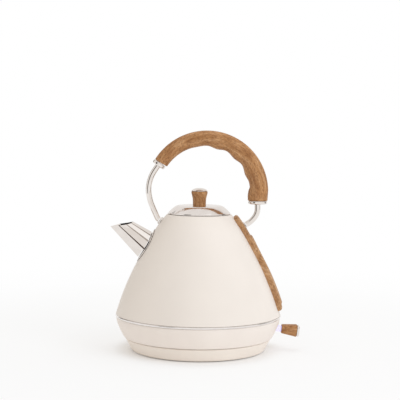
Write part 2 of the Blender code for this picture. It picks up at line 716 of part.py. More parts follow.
def strip_stations():
    """Heights down the strip, with its rounded ends and its raised gauge frame."""
    end = 0.0100
    stations = []
    for k in range(5):
        angle = math.radians(12 + 78 * k / 4)
        stations.append((STRIP_TOP - end * (1 - math.cos(angle)),
                         STRIP_NARROW * (0.35 + 0.65 * math.sin(angle)), 0.0))
    stations += [(FRAME_TOP + 0.0012, STRIP_NARROW, 0.0),
                 (FRAME_TOP, STRIP_NARROW, FRAME_RISE)]
    count = 9
    for k in range(1, count):
        height = FRAME_TOP + (FRAME_FOOT - FRAME_TOP) * k / count
        stations.append((height, strip_half_width(height), FRAME_RISE))
    stations.append((FRAME_FOOT, STRIP_HALF_WIDTH, FRAME_RISE))
    stations.append((FRAME_FOOT - 0.0012, STRIP_HALF_WIDTH, 0.0006))
    stations.append((STRIP_FOOT + 0.0030, STRIP_HALF_WIDTH, 0.0))
    stations.append((STRIP_FOOT + 0.0008, STRIP_HALF_WIDTH * 0.93, -0.0010))
    stations.append((STRIP_FOOT, STRIP_HALF_WIDTH * 0.84, -0.0024))
    return stations


def build_strip(frame):
    strip = wall_patch("rear_strip", strip_stations(), GAP, STRIP_THICKNESS + GAP, 1,
                       "wood_look", frame, columns=6, edge=0.0016)
    heights = [GAUGE_TOP + (GAUGE_FOOT - GAUGE_TOP) * k / 5 for k in range(6)]
    centre = (GAUGE_TOP + GAUGE_FOOT) / 2
    window_hole = wall_patch("gauge_hole", [(z, GAUGE_HALF_WIDTH, 0.0) for z in heights],
                             -0.0002, 0.0120, 1, None, frame, columns=2)
    boolean(strip, window_hole)

    seal_height = 0.0012
    inset = [(z - math.copysign(GAP, z - centre) if z in (heights[0], heights[-1]) else z,
              GAUGE_HALF_WIDTH - GAP, 0.0) for z in heights]
    wall_patch("gauge_window", inset, seal_height + GAP, STRIP_THICKNESS + FRAME_RISE - 0.0006,
               1, "clear_plastic", frame, columns=2)
    seal = wall_patch("gauge_seal", inset, GAP, seal_height, 1, "silicone", frame, columns=2)
    border = 0.0014
    middle = [(z - math.copysign(border, z - centre) if z in (heights[0], heights[-1]) else z,
               GAUGE_HALF_WIDTH - GAP - border, 0.0) for z in heights]
    seal_hole = wall_patch("seal_hole", middle, -0.002, 0.004, 1, None, frame, columns=2)
    boolean(seal, seal_hole)
    return strip


# ---------------------------------------------------------------- lid

def build_lid():
    frame = body_frame("lid")
    turned("lid_cover", [
        (0.0220, 0.1775), (0.0272, 0.1770), (0.0297, 0.1760), (0.0372, 0.1692),
        (0.0380, 0.1684), (LID_RADIUS, 0.1674), (0.0378, 0.1668), (0.0369, 0.1668),
        (0.0368, 0.1683), (0.0290, 0.1749), (0.0268, 0.1758), (0.0220, 0.1763),
        (0.0019, 0.1766), (0.0019, LID_TOP), (0.0100, LID_TOP),
    ], "chrome", frame, ring=True, segments=INNER_SEGMENTS)
    turned("lid_plug", [
        (0.0, 0.1586), (0.0304, 0.1586), (0.0304, 0.1682), (0.0356, 0.1682),
        (0.0356, 0.1668), (0.0316, 0.1668), (0.0316, 0.1578), (0.0308, 0.1570),
        (0.0, 0.1570),
    ], "black_plastic", frame, segments=INNER_SEGMENTS)
    turned("lid_seal", [
        (0.0331, 0.1635), (0.0331, 0.1605), (0.0319, 0.1605), (0.0319, 0.1635),
    ], "silicone", frame, ring=True, segments=INNER_SEGMENTS)
    turned("lid_knob", [
        (0.0, 0.1945), (0.0094, 0.1945), (0.0099, 0.1940), (0.0099, 0.1920),
        (0.0088, 0.1880), (0.0082, 0.1848), (0.0080, 0.1800), (0.0080, 0.1781),
        (0.0019, 0.1781), (0.0019, 0.1876), (0.0, 0.1876),
    ], "wood_look", frame, segments=SMALL_SEGMENTS)
    turned("knob_cap", [
        (0.0, 0.1986), (0.0045, 0.1982), (0.0080, 0.1969), (0.0096, 0.1956),
        (0.0098, 0.1948), (0.0, 0.1948),
    ], "chrome", frame, segments=SMALL_SEGMENTS)
    turned("knob_screw", [
        (0.0, 0.1868), (0.0015, 0.1868), (0.0015, 0.1763), (0.0034, 0.1763),
        (0.0034, 0.1742), (0.0, 0.1742),
    ], "brushed_steel", frame, segments=SCREW_SEGMENTS)


# ---------------------------------------------------------------- switch lever

def rounded_ring(distance, half_width, half_height, count=20, power=4.0):
    """A rounded rectangle across the lever, as a superellipse."""
    ring = []
    for k in range(count):
        angle = 2 * math.pi * (k + 0.5) / count
        across, up = math.cos(angle), math.sin(angle)
        ring.append(Vector((distance,
                            half_width * math.copysign(abs(across) ** (2 / power), across),
                            half_height * math.copysign(abs(up) ** (2 / power), up))))
    return ring


def build_switch():
    frame = body_frame("switch_lever", SWITCH_PIVOT, SWITCH_TILT)
    stem = loft("switch_stem", [rounded_ring(x, 0.0050, 0.0036, 16) for x in (-0.0055, STEM_END)],
                "clear_plastic", frame)
    bore = rod("stem_bore", PIN_RADIUS + PLAY, (0, -0.008, 0), (0, 0.008, 0), None, frame,
               16)
    boolean(stem, bore)
    near, far = STEM_END + GAP, PADDLE_END
    loft("switch_paddle", [
        rounded_ring(near, 0.0064, 0.0045), rounded_ring(near + 0.0008, 0.0070, 0.0051),
        rounded_ring(far - 0.0008, 0.0082, 0.0072), rounded_ring(far, 0.0078, 0.0068),
    ], "wood_look", frame)
    loft("switch_cap", [
        rounded_ring(far + GAP, 0.0077, 0.0067), rounded_ring(far + 0.0012, 0.0077, 0.0067),
        rounded_ring(CAP_END - 0.0005, 0.0070, 0.0060), rounded_ring(CAP_END, 0.0055, 0.0045),
    ], "chrome", frame)


def build_kettle():
    build_power_base()
    build_coupler()
    vessel = body_frame("vessel")
    shell = build_shell(vessel)
    build_floor(vessel)
    build_lower_housing(vessel)
    build_spout(vessel)
    build_grip(vessel)
    strip = build_strip(vessel)
    build_handle_tubes(vessel, shell, strip)
    build_lid()
    build_switch()


build_kettle()
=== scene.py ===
"""Electric kettle: the looks of a pyramid-shaped steel jug on its power base.

All sizes are metres. +Z is up, z = 0 is the table, and the jug's axis is x = y = 0.
The spout points to -X. The switch lever and the water gauge are on +X.
"""
import math

import bmesh
import bpy
from mathutils import Matrix, Vector


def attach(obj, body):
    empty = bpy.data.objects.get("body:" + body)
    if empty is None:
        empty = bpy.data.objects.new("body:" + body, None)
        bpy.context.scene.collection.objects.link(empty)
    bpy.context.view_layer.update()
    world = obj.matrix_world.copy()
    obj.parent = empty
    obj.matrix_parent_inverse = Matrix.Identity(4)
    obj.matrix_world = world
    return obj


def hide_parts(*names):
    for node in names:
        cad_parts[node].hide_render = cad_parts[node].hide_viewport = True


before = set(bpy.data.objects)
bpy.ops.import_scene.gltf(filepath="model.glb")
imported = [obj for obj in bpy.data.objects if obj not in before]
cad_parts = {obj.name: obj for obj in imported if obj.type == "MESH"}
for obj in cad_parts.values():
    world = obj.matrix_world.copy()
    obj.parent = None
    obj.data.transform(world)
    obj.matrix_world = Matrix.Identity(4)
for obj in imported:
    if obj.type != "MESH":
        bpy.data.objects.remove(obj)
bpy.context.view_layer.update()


# ---------------------------------------------------------------- camera
# A long lens 1.28 m in front of the jug's axis, a little above the grip's height.
# It looks down a little and leans by less than a degree.

camera_lens = bpy.data.cameras.new("camera")
camera_lens.sensor_width = 36.0
camera_lens.lens = 94.5
camera = bpy.data.objects.new("camera", camera_lens)
looks_down, leans = 3.43, 0.65      # degrees
camera.matrix_world = (Matrix.Translation((0.0007, -1.2836, 0.2607))
                       @ Matrix.Rotation(math.radians(90 - looks_down), 4, "X")
                       @ Matrix.Rotation(math.radians(leans), 4, "Z"))
bpy.context.scene.collection.objects.link(camera)
bpy.context.scene.camera = camera


# ---------------------------------------------------------------- studio
# A white paper sweep under soft even light. A large soft box on the right makes the
# jug's right side the lighter one. Dark cards beside the jug, which the lens doesn't
# see, put the thin dark streaks in the polished metal, and a white one its highlight.

def linear(code):
    """An sRGB hex colour as linear red, green, blue and alpha."""
    shares = [int(code[k:k + 2], 16) / 255 for k in (1, 3, 5)]
    return (*(s / 12.92 if s <= 0.04045 else ((s + 0.055) / 1.055) ** 2.4 for s in shares), 1.0)


def add(tree, kind, inputs=None, stops=(), **settings):
    """Add one node with its settings, values and links. Stops are a colour ramp's."""
    made = tree.nodes.new(kind)
    for name, value in settings.items():
        setattr(made, name, value)
    for key, value in (inputs or {}).items():
        if isinstance(value, bpy.types.NodeSocket):
            tree.links.new(value, made.inputs[key])
        else:
            made.inputs[key].default_value = value
    for number, (position, code) in enumerate(stops):
        ramp = made.color_ramp.elements
        stop = ramp[number] if number < len(ramp) else ramp.new(position)
        stop.position, stop.color = position, linear(code)
    return made


def blank_finish(name):
    """A new material with an empty node tree."""
    finish = bpy.data.materials.new(name)
    finish.use_nodes = True
    finish.node_tree.nodes.clear()
    return finish, finish.node_tree


def drawn(name, points, edges=(), faces=()):
    """A mesh from its points, edges and faces."""
    mesh = bpy.data.meshes.new(name)
    mesh.from_pydata(points, edges, faces)
    return mesh


def new_piece(name, data):
    """An object in the scene for a mesh or a lamp."""
    made = bpy.data.objects.new(name, data)
    bpy.context.scene.collection.objects.link(made)
    return made


def facing(direction, seat, axis="Z"):
    """The matrix that stands a thing on a seat, with its axis along a direction."""
    turn = Vector(direction).to_track_quat(axis, "Y")
    return Matrix.Translation(seat) @ turn.to_matrix().to_4x4()


def at_jug(place):
    """The direction from a place to the middle of the jug."""
    return Vector((0, 0, 0.12)) - Vector(place)


def card_finish(name, code, strength):
    """The glow of a card, which thins out where its attribute "solid" falls."""
    finish, tree = blank_finish(name)
    solid = add(tree, "ShaderNodeAttribute", attribute_name="solid")
    nothing = add(tree, "ShaderNodeBsdfTransparent")
    glow = add(tree, "ShaderNodeEmission", {"Color": linear(code), "Strength": strength})
    feathered = add(tree, "ShaderNodeMixShader", {0: solid.outputs["Fac"],
                                                  1: nothing.outputs[0], 2: glow.outputs[0]})
    add(tree, "ShaderNodeOutputMaterial", {"Surface": feathered.outputs[0]})
    return finish


def card(name, centre, width, height, finish):
    """A flat card that faces the jug, seen only in mirrors. It is solid but for its edge."""
    corners = [(x * share * width / 2, y * share * height / 2, 0)
               for share in (1.0, 0.72) for x, y in ((-1, -1), (1, -1), (1, 1), (-1, 1))]
    edges = [(k, (k + 1) % 4, 4 + (k + 1) % 4, 4 + k) for k in range(4)]
    mesh = drawn(name, corners, faces=[(4, 5, 6, 7)] + edges)
    solid = mesh.attributes.new("solid", "FLOAT", "POINT")
    solid.data.foreach_set("value", [0.0] * 4 + [1.0] * 4)
    mesh.transform(facing(at_jug(centre), centre))
    mesh.materials.append(finish)
    made = new_piece(name, mesh)
    made.visible_diffuse = made.visible_camera = made.visible_shadow = False


bpy.context.scene.view_settings.view_transform = "Standard"
studio = bpy.data.worlds.new("studio")
studio.use_nodes = True
bpy.context.scene.world = studio
tree = studio.node_tree
tree.nodes.clear()
seen = add(tree, "ShaderNodeLightPath")
fill = add(tree, "ShaderNodeBackground", {"Color": linear("#FFFBF5"), "Strength": 0.69})
walls = add(tree, "ShaderNodeBackground", {"Color": linear("#FFFCF9"), "Strength": 0.90})
mirrored = add(tree, "ShaderNodeMixShader", {0: seen.outputs["Is Glossy Ray"],
                                             1: fill.outputs[0], 2: walls.outputs[0]})
backdrop = add(tree, "ShaderNodeBackground", {"Color": linear("#FFFFFF"), "Strength": 1.0})
chosen = add(tree, "ShaderNodeMixShader", {0: seen.outputs["Is Camera Ray"],
                                           1: mirrored.outputs[0], 2: backdrop.outputs[0]})
add(tree, "ShaderNodeOutputWorld", {"Surface": chosen.outputs[0]})

# The floor is painted: plain matt paper is mixed with an even white glow, and the glow fades out
# towards the jug's axis. This leaves a painted shade round the base, where only the lamps light
# the paper, and no glow at all under the base. The glow also grows a little brighter with
# distance from the jug, a painted brightening.
paper, tree = blank_finish("paper_sweep_painted_shade")
place = add(tree, "ShaderNodeTexCoord")
reach = add(tree, "ShaderNodeVectorMath", {0: place.outputs["Object"]}, operation="LENGTH")
painted_shade_by_reach = add(tree, "ShaderNodeValToRGB", {"Fac": reach.outputs["Value"]},
           stops=[(0.074, "#000000"), (0.105, "#CACACA"), (0.20, "#E4E4E4"), (0.60, "#FFFFFF")])
matt = add(tree, "ShaderNodeBsdfDiffuse", {"Color": linear("#F7F6F5")})
lift = add(tree, "ShaderNodeMapRange", {"Value": reach.outputs["Value"], "From Min": 0.35,
                                        "From Max": 0.85, "To Min": 0.978, "To Max": 1.0})
glow = add(tree, "ShaderNodeEmission", {"Color": linear("#FFFFFF"),
                                        "Strength": lift.outputs["Result"]})
both = add(tree, "ShaderNodeMixShader", {0: painted_shade_by_reach.outputs["Color"], 1: matt.outputs[0],
                                         2: glow.outputs[0]})
add(tree, "ShaderNodeOutputMaterial", {"Surface": both.outputs[0]})
floor = new_piece("paper_sweep", drawn(
    "paper_sweep", [(-6, -6, 0), (6, -6, 0), (6, 6, 0), (-6, 6, 0)], faces=[(0, 1, 2, 3)]))
floor.data.materials.append(paper)

black_card = card_finish("black_card", "#332C27", 1.0)
white_card = card_finish("white_card", "#FFFFFF", 1.12)
card("card_by_lens", (-0.92, -0.95, 0.45), 0.74, 1.6, black_card)
card("card_at_right", (1.25, 0.25, 0.40), 0.50, 1.2, black_card)
card("card_behind_left", (-0.95, 0.85, 0.40), 0.42, 1.2, black_card)
card("card_above_right", (0.42, -0.42, 1.20), 0.75, 0.60, white_card)

for name, place_of_light, power, code in (
        ("soft_box_right", (1.10, -1.00, 0.95), 9.6, "#E6F1FF"),
        ("soft_box_above", (0.15, 0.25, 1.60), 5.5, "#F6FAFF")):
    lamp = bpy.data.lights.new(name, "AREA")
    lamp.shape, lamp.size, lamp.energy = "SQUARE", 0.9, power
    lamp.color = linear(code)[:3]
    light = new_piece(name, lamp)
    light.matrix_world = facing(at_jug(place_of_light), place_of_light, "-Z")
    light.visible_glossy = False


# ---------------------------------------------------------------- power base
# The base's round housing is injection-moulded polypropylene, a shade warmer than the
# jug. Its rim flares up to the jug's skirt and a thin shadow line is left between them.

def new_tree(name, sizes):
    """A Geometry Nodes tree with named inputs, each with its socket type."""
    made = bpy.data.node_groups.new(name, "GeometryNodeTree")
    made.interface.new_socket("Geometry", in_out="INPUT", socket_type="NodeSocketGeometry")
    for label, kind in sizes.items():
        made.interface.new_socket(label, in_out="INPUT", socket_type="NodeSocket" + kind)
    made.interface.new_socket("Geometry", in_out="OUTPUT", socket_type="NodeSocketGeometry")
    return made


def end_tree(tree, geometry, given):
    """End a tree: its geometry is made plain and takes the given finish."""
    whole = add(tree, "GeometryNodeRealizeInstances", {"Geometry": geometry})
    coated = add(tree, "GeometryNodeSetMaterial", {"Geometry": whole.outputs[0],
                                                   "Material": given.outputs["Finish"]})
    add(tree, "NodeGroupOutput", {"Geometry": coated.outputs[0]})


def meshed(name, bm):
    """The mesh of an edit mesh, which is used up."""
    mesh = bpy.data.meshes.new(name)
    bm.to_mesh(mesh)
    bm.free()
    return mesh


def settle(piece):
    """Turn the piece's modifiers into plain mesh, faced outwards and smooth but for edges."""
    whole = bpy.data.meshes.new_from_object(
        piece.evaluated_get(bpy.context.evaluated_depsgraph_get()))
    piece.modifiers.clear()
    piece.data = whole
    bm = bmesh.new()
    bm.from_mesh(whole)
    if bm.calc_volume(signed=True) < 0:
        bmesh.ops.reverse_faces(bm, faces=bm.faces)
    bm.to_mesh(whole)
    bm.free()
    whole.shade_smooth()
    whole.set_sharp_from_angle(angle=math.radians(38))
    return piece


def grown(name, mesh, tree, sizes):
    """Run a tree on a mesh with its named inputs set, and keep the plain mesh."""
    piece = new_piece(name, mesh)
    growth = piece.modifiers.new("growth", "NODES")
    growth.node_group = tree
    for socket in tree.interface.items_tree:
        if socket.in_out == "INPUT" and socket.name in sizes:
            growth[socket.identifier] = sizes[socket.name]
    return settle(piece)


# A profile drawn beside the axis is swept round a circle of 1 m radius, less that metre.
turning = new_tree("turning", {"Steps": "Int", "Finish": "Material"})
given = add(turning, "NodeGroupInput")
line = add(turning, "GeometryNodeMeshToCurve", {"Mesh": given.outputs["Geometry"]})
moved = add(turning, "GeometryNodeTransform", {"Geometry": line.outputs[0],
                                               "Translation": (-1.0, 0.0, 0.0)})
circle = add(turning, "GeometryNodeCurvePrimitiveCircle", {"Resolution": given.outputs["Steps"],
                                                           "Radius": 1.0})
swept = add(turning, "GeometryNodeCurveToMesh", {"Curve": circle.outputs[0],
                                                 "Profile Curve": moved.outputs[0]})
joined = add(turning, "GeometryNodeMergeByDistance", {"Geometry": swept.outputs[0],
                                                      "Distance": 0.000002})
end_tree(turning, joined.outputs[0], given)


def softened(points, radius=0.0005, ring=False):
    """A profile with its corners rounded, and a point beside each to keep the flats flat."""
    points = [Vector(p) for p in points]
    soft = []
    for k, here in enumerate(points):
        if not ring and k in (0, len(points) - 1):
            soft.append(here)
            continue
        back, ahead = points[k - 1] - here, points[(k + 1) % len(points)] - here
        if abs(math.pi - back.angle(ahead)) < math.radians(14):
            soft.append(here)
            continue
        d = min(radius, back.length * 0.42, ahead.length * 0.42)
        start, end = here + back.normalized() * d, here + ahead.normalized() * d
        soft.append(start + back.normalized() * d * 0.12)
        for step in range(5):
            t = step / 4
            soft.append((1 - t) ** 2 * start + 2 * t * (1 - t) * here + t * t * end)
        soft.append(end + ahead.normalized() * d * 0.12)
    return [tuple(p) for p in soft]


def flowing(points, steps=5):
    """Points along a smooth curve through the given ones."""
    points = [Vector(p) for p in points]
    padded = [2 * points[0] - points[1]] + points + [2 * points[-1] - points[-2]]
    run = []
    for k in range(1, len(padded) - 2):
        before, start, end, after = padded[k - 1:k + 3]
        for step in range(steps):
            t = step / steps
            run.append(0.5 * (2 * start + (end - before) * t
                              + (2 * before - 5 * start + 4 * end - after) * t * t
                              + (3 * start - before - 3 * end + after) * t ** 3))
    return [tuple(p) for p in run] + [tuple(points[-1])]


def turned(name, profile, finish, steps=128, ring=False):
    """Turn (radius, height) points about Z. They run down the outer side."""
    count = len(profile)
    edges = [(k, k + 1) for k in range(count - 1)] + ([(count - 1, 0)] if ring else [])
    mesh = drawn(name, [(radius, -height, 0.0) for radius, height in profile], edges)
    return grown(name, mesh, turning, {"Steps": steps, "Finish": finish})


def fit(piece, body, slot, *nodes):
    """The piece moves with its body and stands for its CAD nodes."""
    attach(piece, body)
    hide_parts(*nodes)
    return piece


def coat(finish, *nodes):
    """Give CAD nodes a finish."""
    for name in nodes:
        for place_for_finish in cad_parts[name].material_slots:
            place_for_finish.material = finish


def mottled(name, patch, detail, stops, shading, blur=(), between=(0.0, 1.0), grain=(),
            relief=(), twist=0.0, stretch=None):
    """A finish whose tone drifts in patches of a real size. Its blur is a range of
    roughness and its relief a strength and a depth. A finer grain drives both, where
    there is one, and the patches do where there isn't."""
    finish, tree = blank_finish(name)
    place = add(tree, "ShaderNodeTexCoord")
    spot = place.outputs["Object"]
    if stretch:
        spot = add(tree, "ShaderNodeMapping", {"Vector": spot, "Scale": stretch}).outputs[0]
    noise = add(tree, "ShaderNodeTexNoise", {"Vector": spot, "Scale": 1 / patch,
                                             "Detail": detail, "Distortion": twist})
    tone = add(tree, "ShaderNodeValToRGB", {"Fac": noise.outputs["Fac"]}, stops=stops)
    look = {"Base Color": tone.outputs["Color"], **shading}
    if grain:
        noise = add(tree, "ShaderNodeTexNoise", {
            "Vector": place.outputs["Object"], "Scale": 1 / grain[0], "Detail": grain[1]})
    if blur:
        share = add(tree, "ShaderNodeMapRange", {
            "Value": noise.outputs["Fac"], "From Min": between[0], "From Max": between[1],
            "To Min": blur[0], "To Max": blur[1]})
        look["Roughness"] = share.outputs["Result"]
    if relief:
        bump = add(tree, "ShaderNodeBump", {"Height": noise.outputs["Fac"],
                                            "Strength": relief[0], "Distance": relief[1]})
        look["Normal"] = bump.outputs["Normal"]
    shader = add(tree, "ShaderNodeBsdfPrincipled", look)
    add(tree, "ShaderNodeOutputMaterial", {"Surface": shader.outputs[0]})
    return finish


# Moulded polypropylene: warm cream, dull, with the faint pebble of an eroded mould. The
# real pebble is 0.1 mm, too fine to show, so it is drawn at 0.7 mm.
cream_plastic = mottled(
    "moulded_polypropylene", 0.030, 2.0, ((0.30, "#F0E5DA"), (0.70, "#F4EADF")),
    {"IOR": 1.49}, (0.50, 0.62), grain=(0.0007, 3.0), relief=(0.10, 0.0003))

base_outer = flowing([(0.0895, 0.0153), (0.0862, 0.0095), (0.0837, 0.0046), (0.0826, 0.0024),
                      (0.0812, 0.0013), (0.0796, 0.0009)])
base_profile = softened([(0.0886, 0.0165)] + base_outer + [
    (0.0778, 0.0009), (0.0778, 0.0036), (0.0810, 0.0040), (0.0839, 0.0095), (0.0862, 0.0138),
    (0.0145, 0.0138), (0.0145, 0.0156), (0.0290, 0.0156), (0.0295, 0.0150), (0.0325, 0.0150),
    (0.0330, 0.0156), (0.0840, 0.0156), (0.0850, 0.0165)], 0.0006, True)
base = turned("base_shell", base_profile, cream_plastic, 144, True)
fit(base, "power_base", "cream_plastic", "base_housing")
coat(cream_plastic, "base_cover")


# ---------------------------------------------------------------- base: feet and screws
# Four soft rubber feet with moulded rings keep the base from sliding. Three pan-head
# steel screws with a cross recess hold the cover from below.

# Each point of the mesh gets a copy of the pattern piece.
setting_out = new_tree("setting_out", {"Pattern": "Object", "Finish": "Material"})
given = add(setting_out, "NodeGroupInput")
pattern = add(setting_out, "GeometryNodeObjectInfo", {"Object": given.outputs["Pattern"]})
copies = add(setting_out, "GeometryNodeInstanceOnPoints", {
    "Points": given.outputs["Geometry"], "Instance": pattern.outputs["Geometry"]})
end_tree(setting_out, copies.outputs[0], given)


def set_out(name, points, pattern_piece, finish):
    """Copies of a pattern piece on points, as one plain mesh. The pattern is used up."""
    made = grown(name, drawn(name, points), setting_out,
                 {"Pattern": pattern_piece, "Finish": finish})
    bpy.data.objects.remove(pattern_piece)
    return made


def circle_points(radius, height, count, first=0.0):
    """Points evenly round the axis, from a first angle in degrees."""
    turns = [math.radians(first + 360 * k / count) for k in range(count)]
    return [(radius * math.cos(a), radius * math.sin(a), height) for a in turns]


# Thermoplastic rubber: mid grey, no gloss, with a fine dusty bloom.
rubber = mottled("moulded_rubber", 0.0012, 4.0, ((0.35, "#6E6B67"), (0.75, "#837F7A")),
                 {"Roughness": 0.82}, relief=(0.25, 0.0002))

foot = turned("foot_pattern", softened([
    (0.0, 0.0009), (0.0062, 0.0009), (0.0062, 0.0003), (0.0054, 0.0), (0.0048, 0.0),
    (0.0046, 0.0003), (0.0040, 0.0003), (0.0038, 0.0), (0.0030, 0.0), (0.0028, 0.0003),
    (0.0022, 0.0003), (0.0020, 0.0), (0.0, 0.0)], 0.0002), rubber, 40)
feet = set_out("rubber_feet", circle_points(0.066, 0.0, 4), foot, rubber)
fit(feet, "power_base", "grey_rubber", "base_foot_1", "base_foot_2", "base_foot_3",
    "base_foot_4")

# Stainless steel, brushed or pressed: grey, with fine rubbed lines that blur its gloss.
steel = mottled(
    "brushed_stainless_steel", 1.0, 3.0, ((0.30, "#B9B7B3"), (0.75, "#D2D0CC")),
    {"Metallic": 1.0}, (0.22, 0.42), stretch=(1 / 0.010, 1 / 0.0005, 1 / 0.0005))


def cut(piece, tool):
    """Cut a tool's shape out of a piece. The tool is used up."""
    saw = piece.modifiers.new("saw", "BOOLEAN")
    saw.operation, saw.solver, saw.object = "DIFFERENCE", "EXACT", tool
    settle(piece)
    bpy.data.objects.remove(tool)
    return piece


def drill(piece, radius, depth, place, segments):
    """Drill a round hole along Z of a place that is given as a matrix."""
    drill_bit = bmesh.new()
    bmesh.ops.create_cone(drill_bit, cap_ends=True, segments=segments, radius1=radius,
                          radius2=radius, depth=depth, matrix=place)
    return cut(piece, new_piece("drill_bit", meshed("drill_bit", drill_bit)))


def screw_pattern(head_radius, head_depth, reach_up):
    """A pan-head screw that points up, with a cross recess in its head at z = 0."""
    made = turned("screw_pattern", softened([
        (0.0, reach_up), (0.0014, reach_up), (0.0014, head_depth), (head_radius, head_depth),
        (head_radius, 0.0002), (head_radius * 0.80, 0.0), (0.0, 0.0)], 0.0002), steel, 28)
    arm, half = 0.0015, 0.00035
    cross = [(half, half), (half, arm), (-half, arm), (-half, half), (-arm, half),
             (-arm, -half), (-half, -half), (-half, -arm), (half, -arm), (half, -half),
             (arm, -half), (arm, half)]
    recess = bmesh.new()
    above, below = ([recess.verts.new((x, y, z)) for x, y in cross]
                    for z in (0.0004, -0.0004))
    recess.faces.new(above)
    recess.faces.new(reversed(below))
    for k in range(12):
        recess.faces.new((below[k - 1], below[k], above[k], above[k - 1]))
    bmesh.ops.recalc_face_normals(recess, faces=recess.faces)
    return cut(made, new_piece("recess", meshed("recess", recess)))


screws = set_out("base_cover_screws", circle_points(0.040, 0.0002, 3, 30),
                 screw_pattern(0.0028, 0.0007, 0.0110), steel)
fit(screws, "power_base", "brushed_steel", "base_screw_1", "base_screw_2", "base_screw_3")


# ---------------------------------------------------------------- base: connector and gland
# The round cordless connector is black nylon with a brass ring and a brass pin in its
# middle. The gland that takes the cord is a rubber bush in the base's far side.

# Glass-filled nylon: near black and satin, with the flow marks of moulding.
nylon = mottled("moulded_black_nylon", 0.004, 3.0, ((0.30, "#26241F"), (0.80, "#34312D")),
                {}, (0.38, 0.55), twist=0.6)

# Turned brass: yellow metal with ring-like tool marks 0.2 mm apart.
brass, tree = blank_finish("turned_brass")
place = add(tree, "ShaderNodeTexCoord")
rings = add(tree, "ShaderNodeTexWave", {"Vector": place.outputs["Object"], "Scale": 1 / 0.0013,
                                        "Distortion": 0.4}, bands_direction="Z")
tone = add(tree, "ShaderNodeValToRGB", {"Fac": rings.outputs["Fac"]},
           stops=[(0.0, "#C79A55"), (1.0, "#DDB672")])
shader = add(tree, "ShaderNodeBsdfPrincipled", {
    "Base Color": tone.outputs["Color"], "Metallic": 1.0, "Roughness": 0.28})
add(tree, "ShaderNodeOutputMaterial", {"Surface": shader.outputs[0]})

coat(nylon, "base_connector")
coat(brass, "connector_ring", "connector_pin")
coat(rubber, "cord_gland")


# ---------------------------------------------------------------- jug: coupler and underside
# The ring that turns on the connector is black nylon. A plain polypropylene cover with
# three screws closes the jug's underside.

coat(nylon, "socket_ring")
coat(cream_plastic, "underside_cover")
screws = set_out("underside_screws", circle_points(0.070, 0.0174, 3, 60),
                 screw_pattern(0.0029, 0.0009, 0.0126), steel)
fit(screws, "vessel", "brushed_steel", "housing_screw_1", "housing_screw_2", "housing_screw_3")


# ---------------------------------------------------------------- jug: lower housing
# A moulded skirt of the same cream plastic flares from the base's rim up to the polished
# ring. A rounded slot on the +X side lets the switch lever through.

# Moulded ABS in the jug's own cream, a little glossier than the base.
skirt_plastic = mottled(
    "moulded_abs", 0.035, 2.0, ((0.30, "#EEE3DA"), (0.70, "#F2E8DF")),
    {"IOR": 1.52}, (0.46, 0.58), grain=(0.0008, 3.0), relief=(0.08, 0.0003))

skirt_outer = flowing([(0.1004, 0.0416), (0.1005, 0.0392), (0.0994, 0.0343), (0.0975, 0.0293),
                       (0.0952, 0.0244), (0.0926, 0.0194), (0.0917, 0.0178)], 4)
skirt_inner = flowing([(0.0886, 0.0171), (0.0902, 0.0198), (0.0928, 0.0248), (0.0951, 0.0296),
                       (0.0970, 0.0346), (0.0980, 0.0390)], 3)
skirt = turned("jug_skirt", softened(skirt_outer + [(0.0908, 0.0171)] + skirt_inner
                                     + [(0.0980, 0.0416)], 0.0003, True),
               skirt_plastic, 192, True)


def rounded_box(name, low, high, radius):
    """A box between two corners with its edges rounded."""
    low, high = Vector(low), Vector(high)
    bm = bmesh.new()
    bmesh.ops.create_cube(bm, size=1.0, matrix=Matrix.Translation((low + high) / 2)
                          @ Matrix.Diagonal((*(high - low), 1.0)))
    bmesh.ops.bevel(bm, geom=list(bm.edges), offset=radius, segments=4, profile=0.5,
                    affect="EDGES")
    return new_piece(name, meshed(name, bm))


cut(skirt, rounded_box("slot", (0.086, -0.0058, 0.0226), (0.108, 0.0058, 0.0349), 0.0022))
fit(skirt, "vessel", "cream_plastic", "lower_housing")
coat(nylon, "switch_bracket", "control_unit")
coat(steel, "heater_plate", "heating_element", "switch_pivot_pin")


# ---------------------------------------------------------------- jug: body shell
# The jug is one drawn steel shell, 0.9 mm thick. Outside it is powder-coated cream, and
# inside it is bare brushed steel. Its mouth is rolled, and a hole leads to the spout.

WALL = [(0.1662, 0.0394, 0.95), (0.1473, 0.0538, 0.60), (0.1058, 0.0764, 0.53),
        (0.0841, 0.0868, 0.43), (0.0448, 0.1008, 0.30)]     # height, radius, flare
SHELL_TOP, SHELL_FOOT, SHELL_DEPTH = 0.1662, 0.0446, 0.0009
FILTER_HEIGHT = 0.1278              # height of the hole to the spout and of its filter


def wall_radius(height):
    """The jug's outer radius at a height."""
    for upper, lower in zip(WALL, WALL[1:]):
        if height >= lower[0]:
            break
    drop = upper[0] - lower[0]
    t = (upper[0] - height) / drop
    return ((2 * t ** 3 - 3 * t ** 2 + 1) * upper[1] + (t ** 3 - 2 * t ** 2 + t) * drop * upper[2]
            + (3 * t ** 2 - 2 * t ** 3) * lower[1] + (t ** 3 - t ** 2) * drop * lower[2])


def wall_normal(height):
    """The wall's outward direction, as its radial and vertical parts."""
    flare = (wall_radius(height - 0.0002) - wall_radius(height + 0.0002)) / 0.0004
    return 1 / math.hypot(1, flare), flare / math.hypot(1, flare)


def on_wall(height, offset, lift, side):
    """A point over the wall, sideways by an offset, on the spout's side (-1) or the gauge's."""
    radial, vertical = wall_normal(height)
    angle = math.asin(offset / wall_radius(height))
    reach = wall_radius(height) + lift * radial
    return Vector((side * reach * math.cos(angle), reach * math.sin(angle),
                   height + lift * vertical))


# Powder coating on steel: cream, satin, with a very fine orange peel. The real peel is
# 0.3 mm across, too fine to show, so it is drawn at 1.1 mm.
coating = mottled(
    "powder_coated_steel", 0.045, 2.0, ((0.30, "#ECE3DA"), (0.70, "#EFE6DD")),
    {"IOR": 1.50}, (0.42, 0.54), grain=(0.0011, 2.0), relief=(0.07, 0.0004))

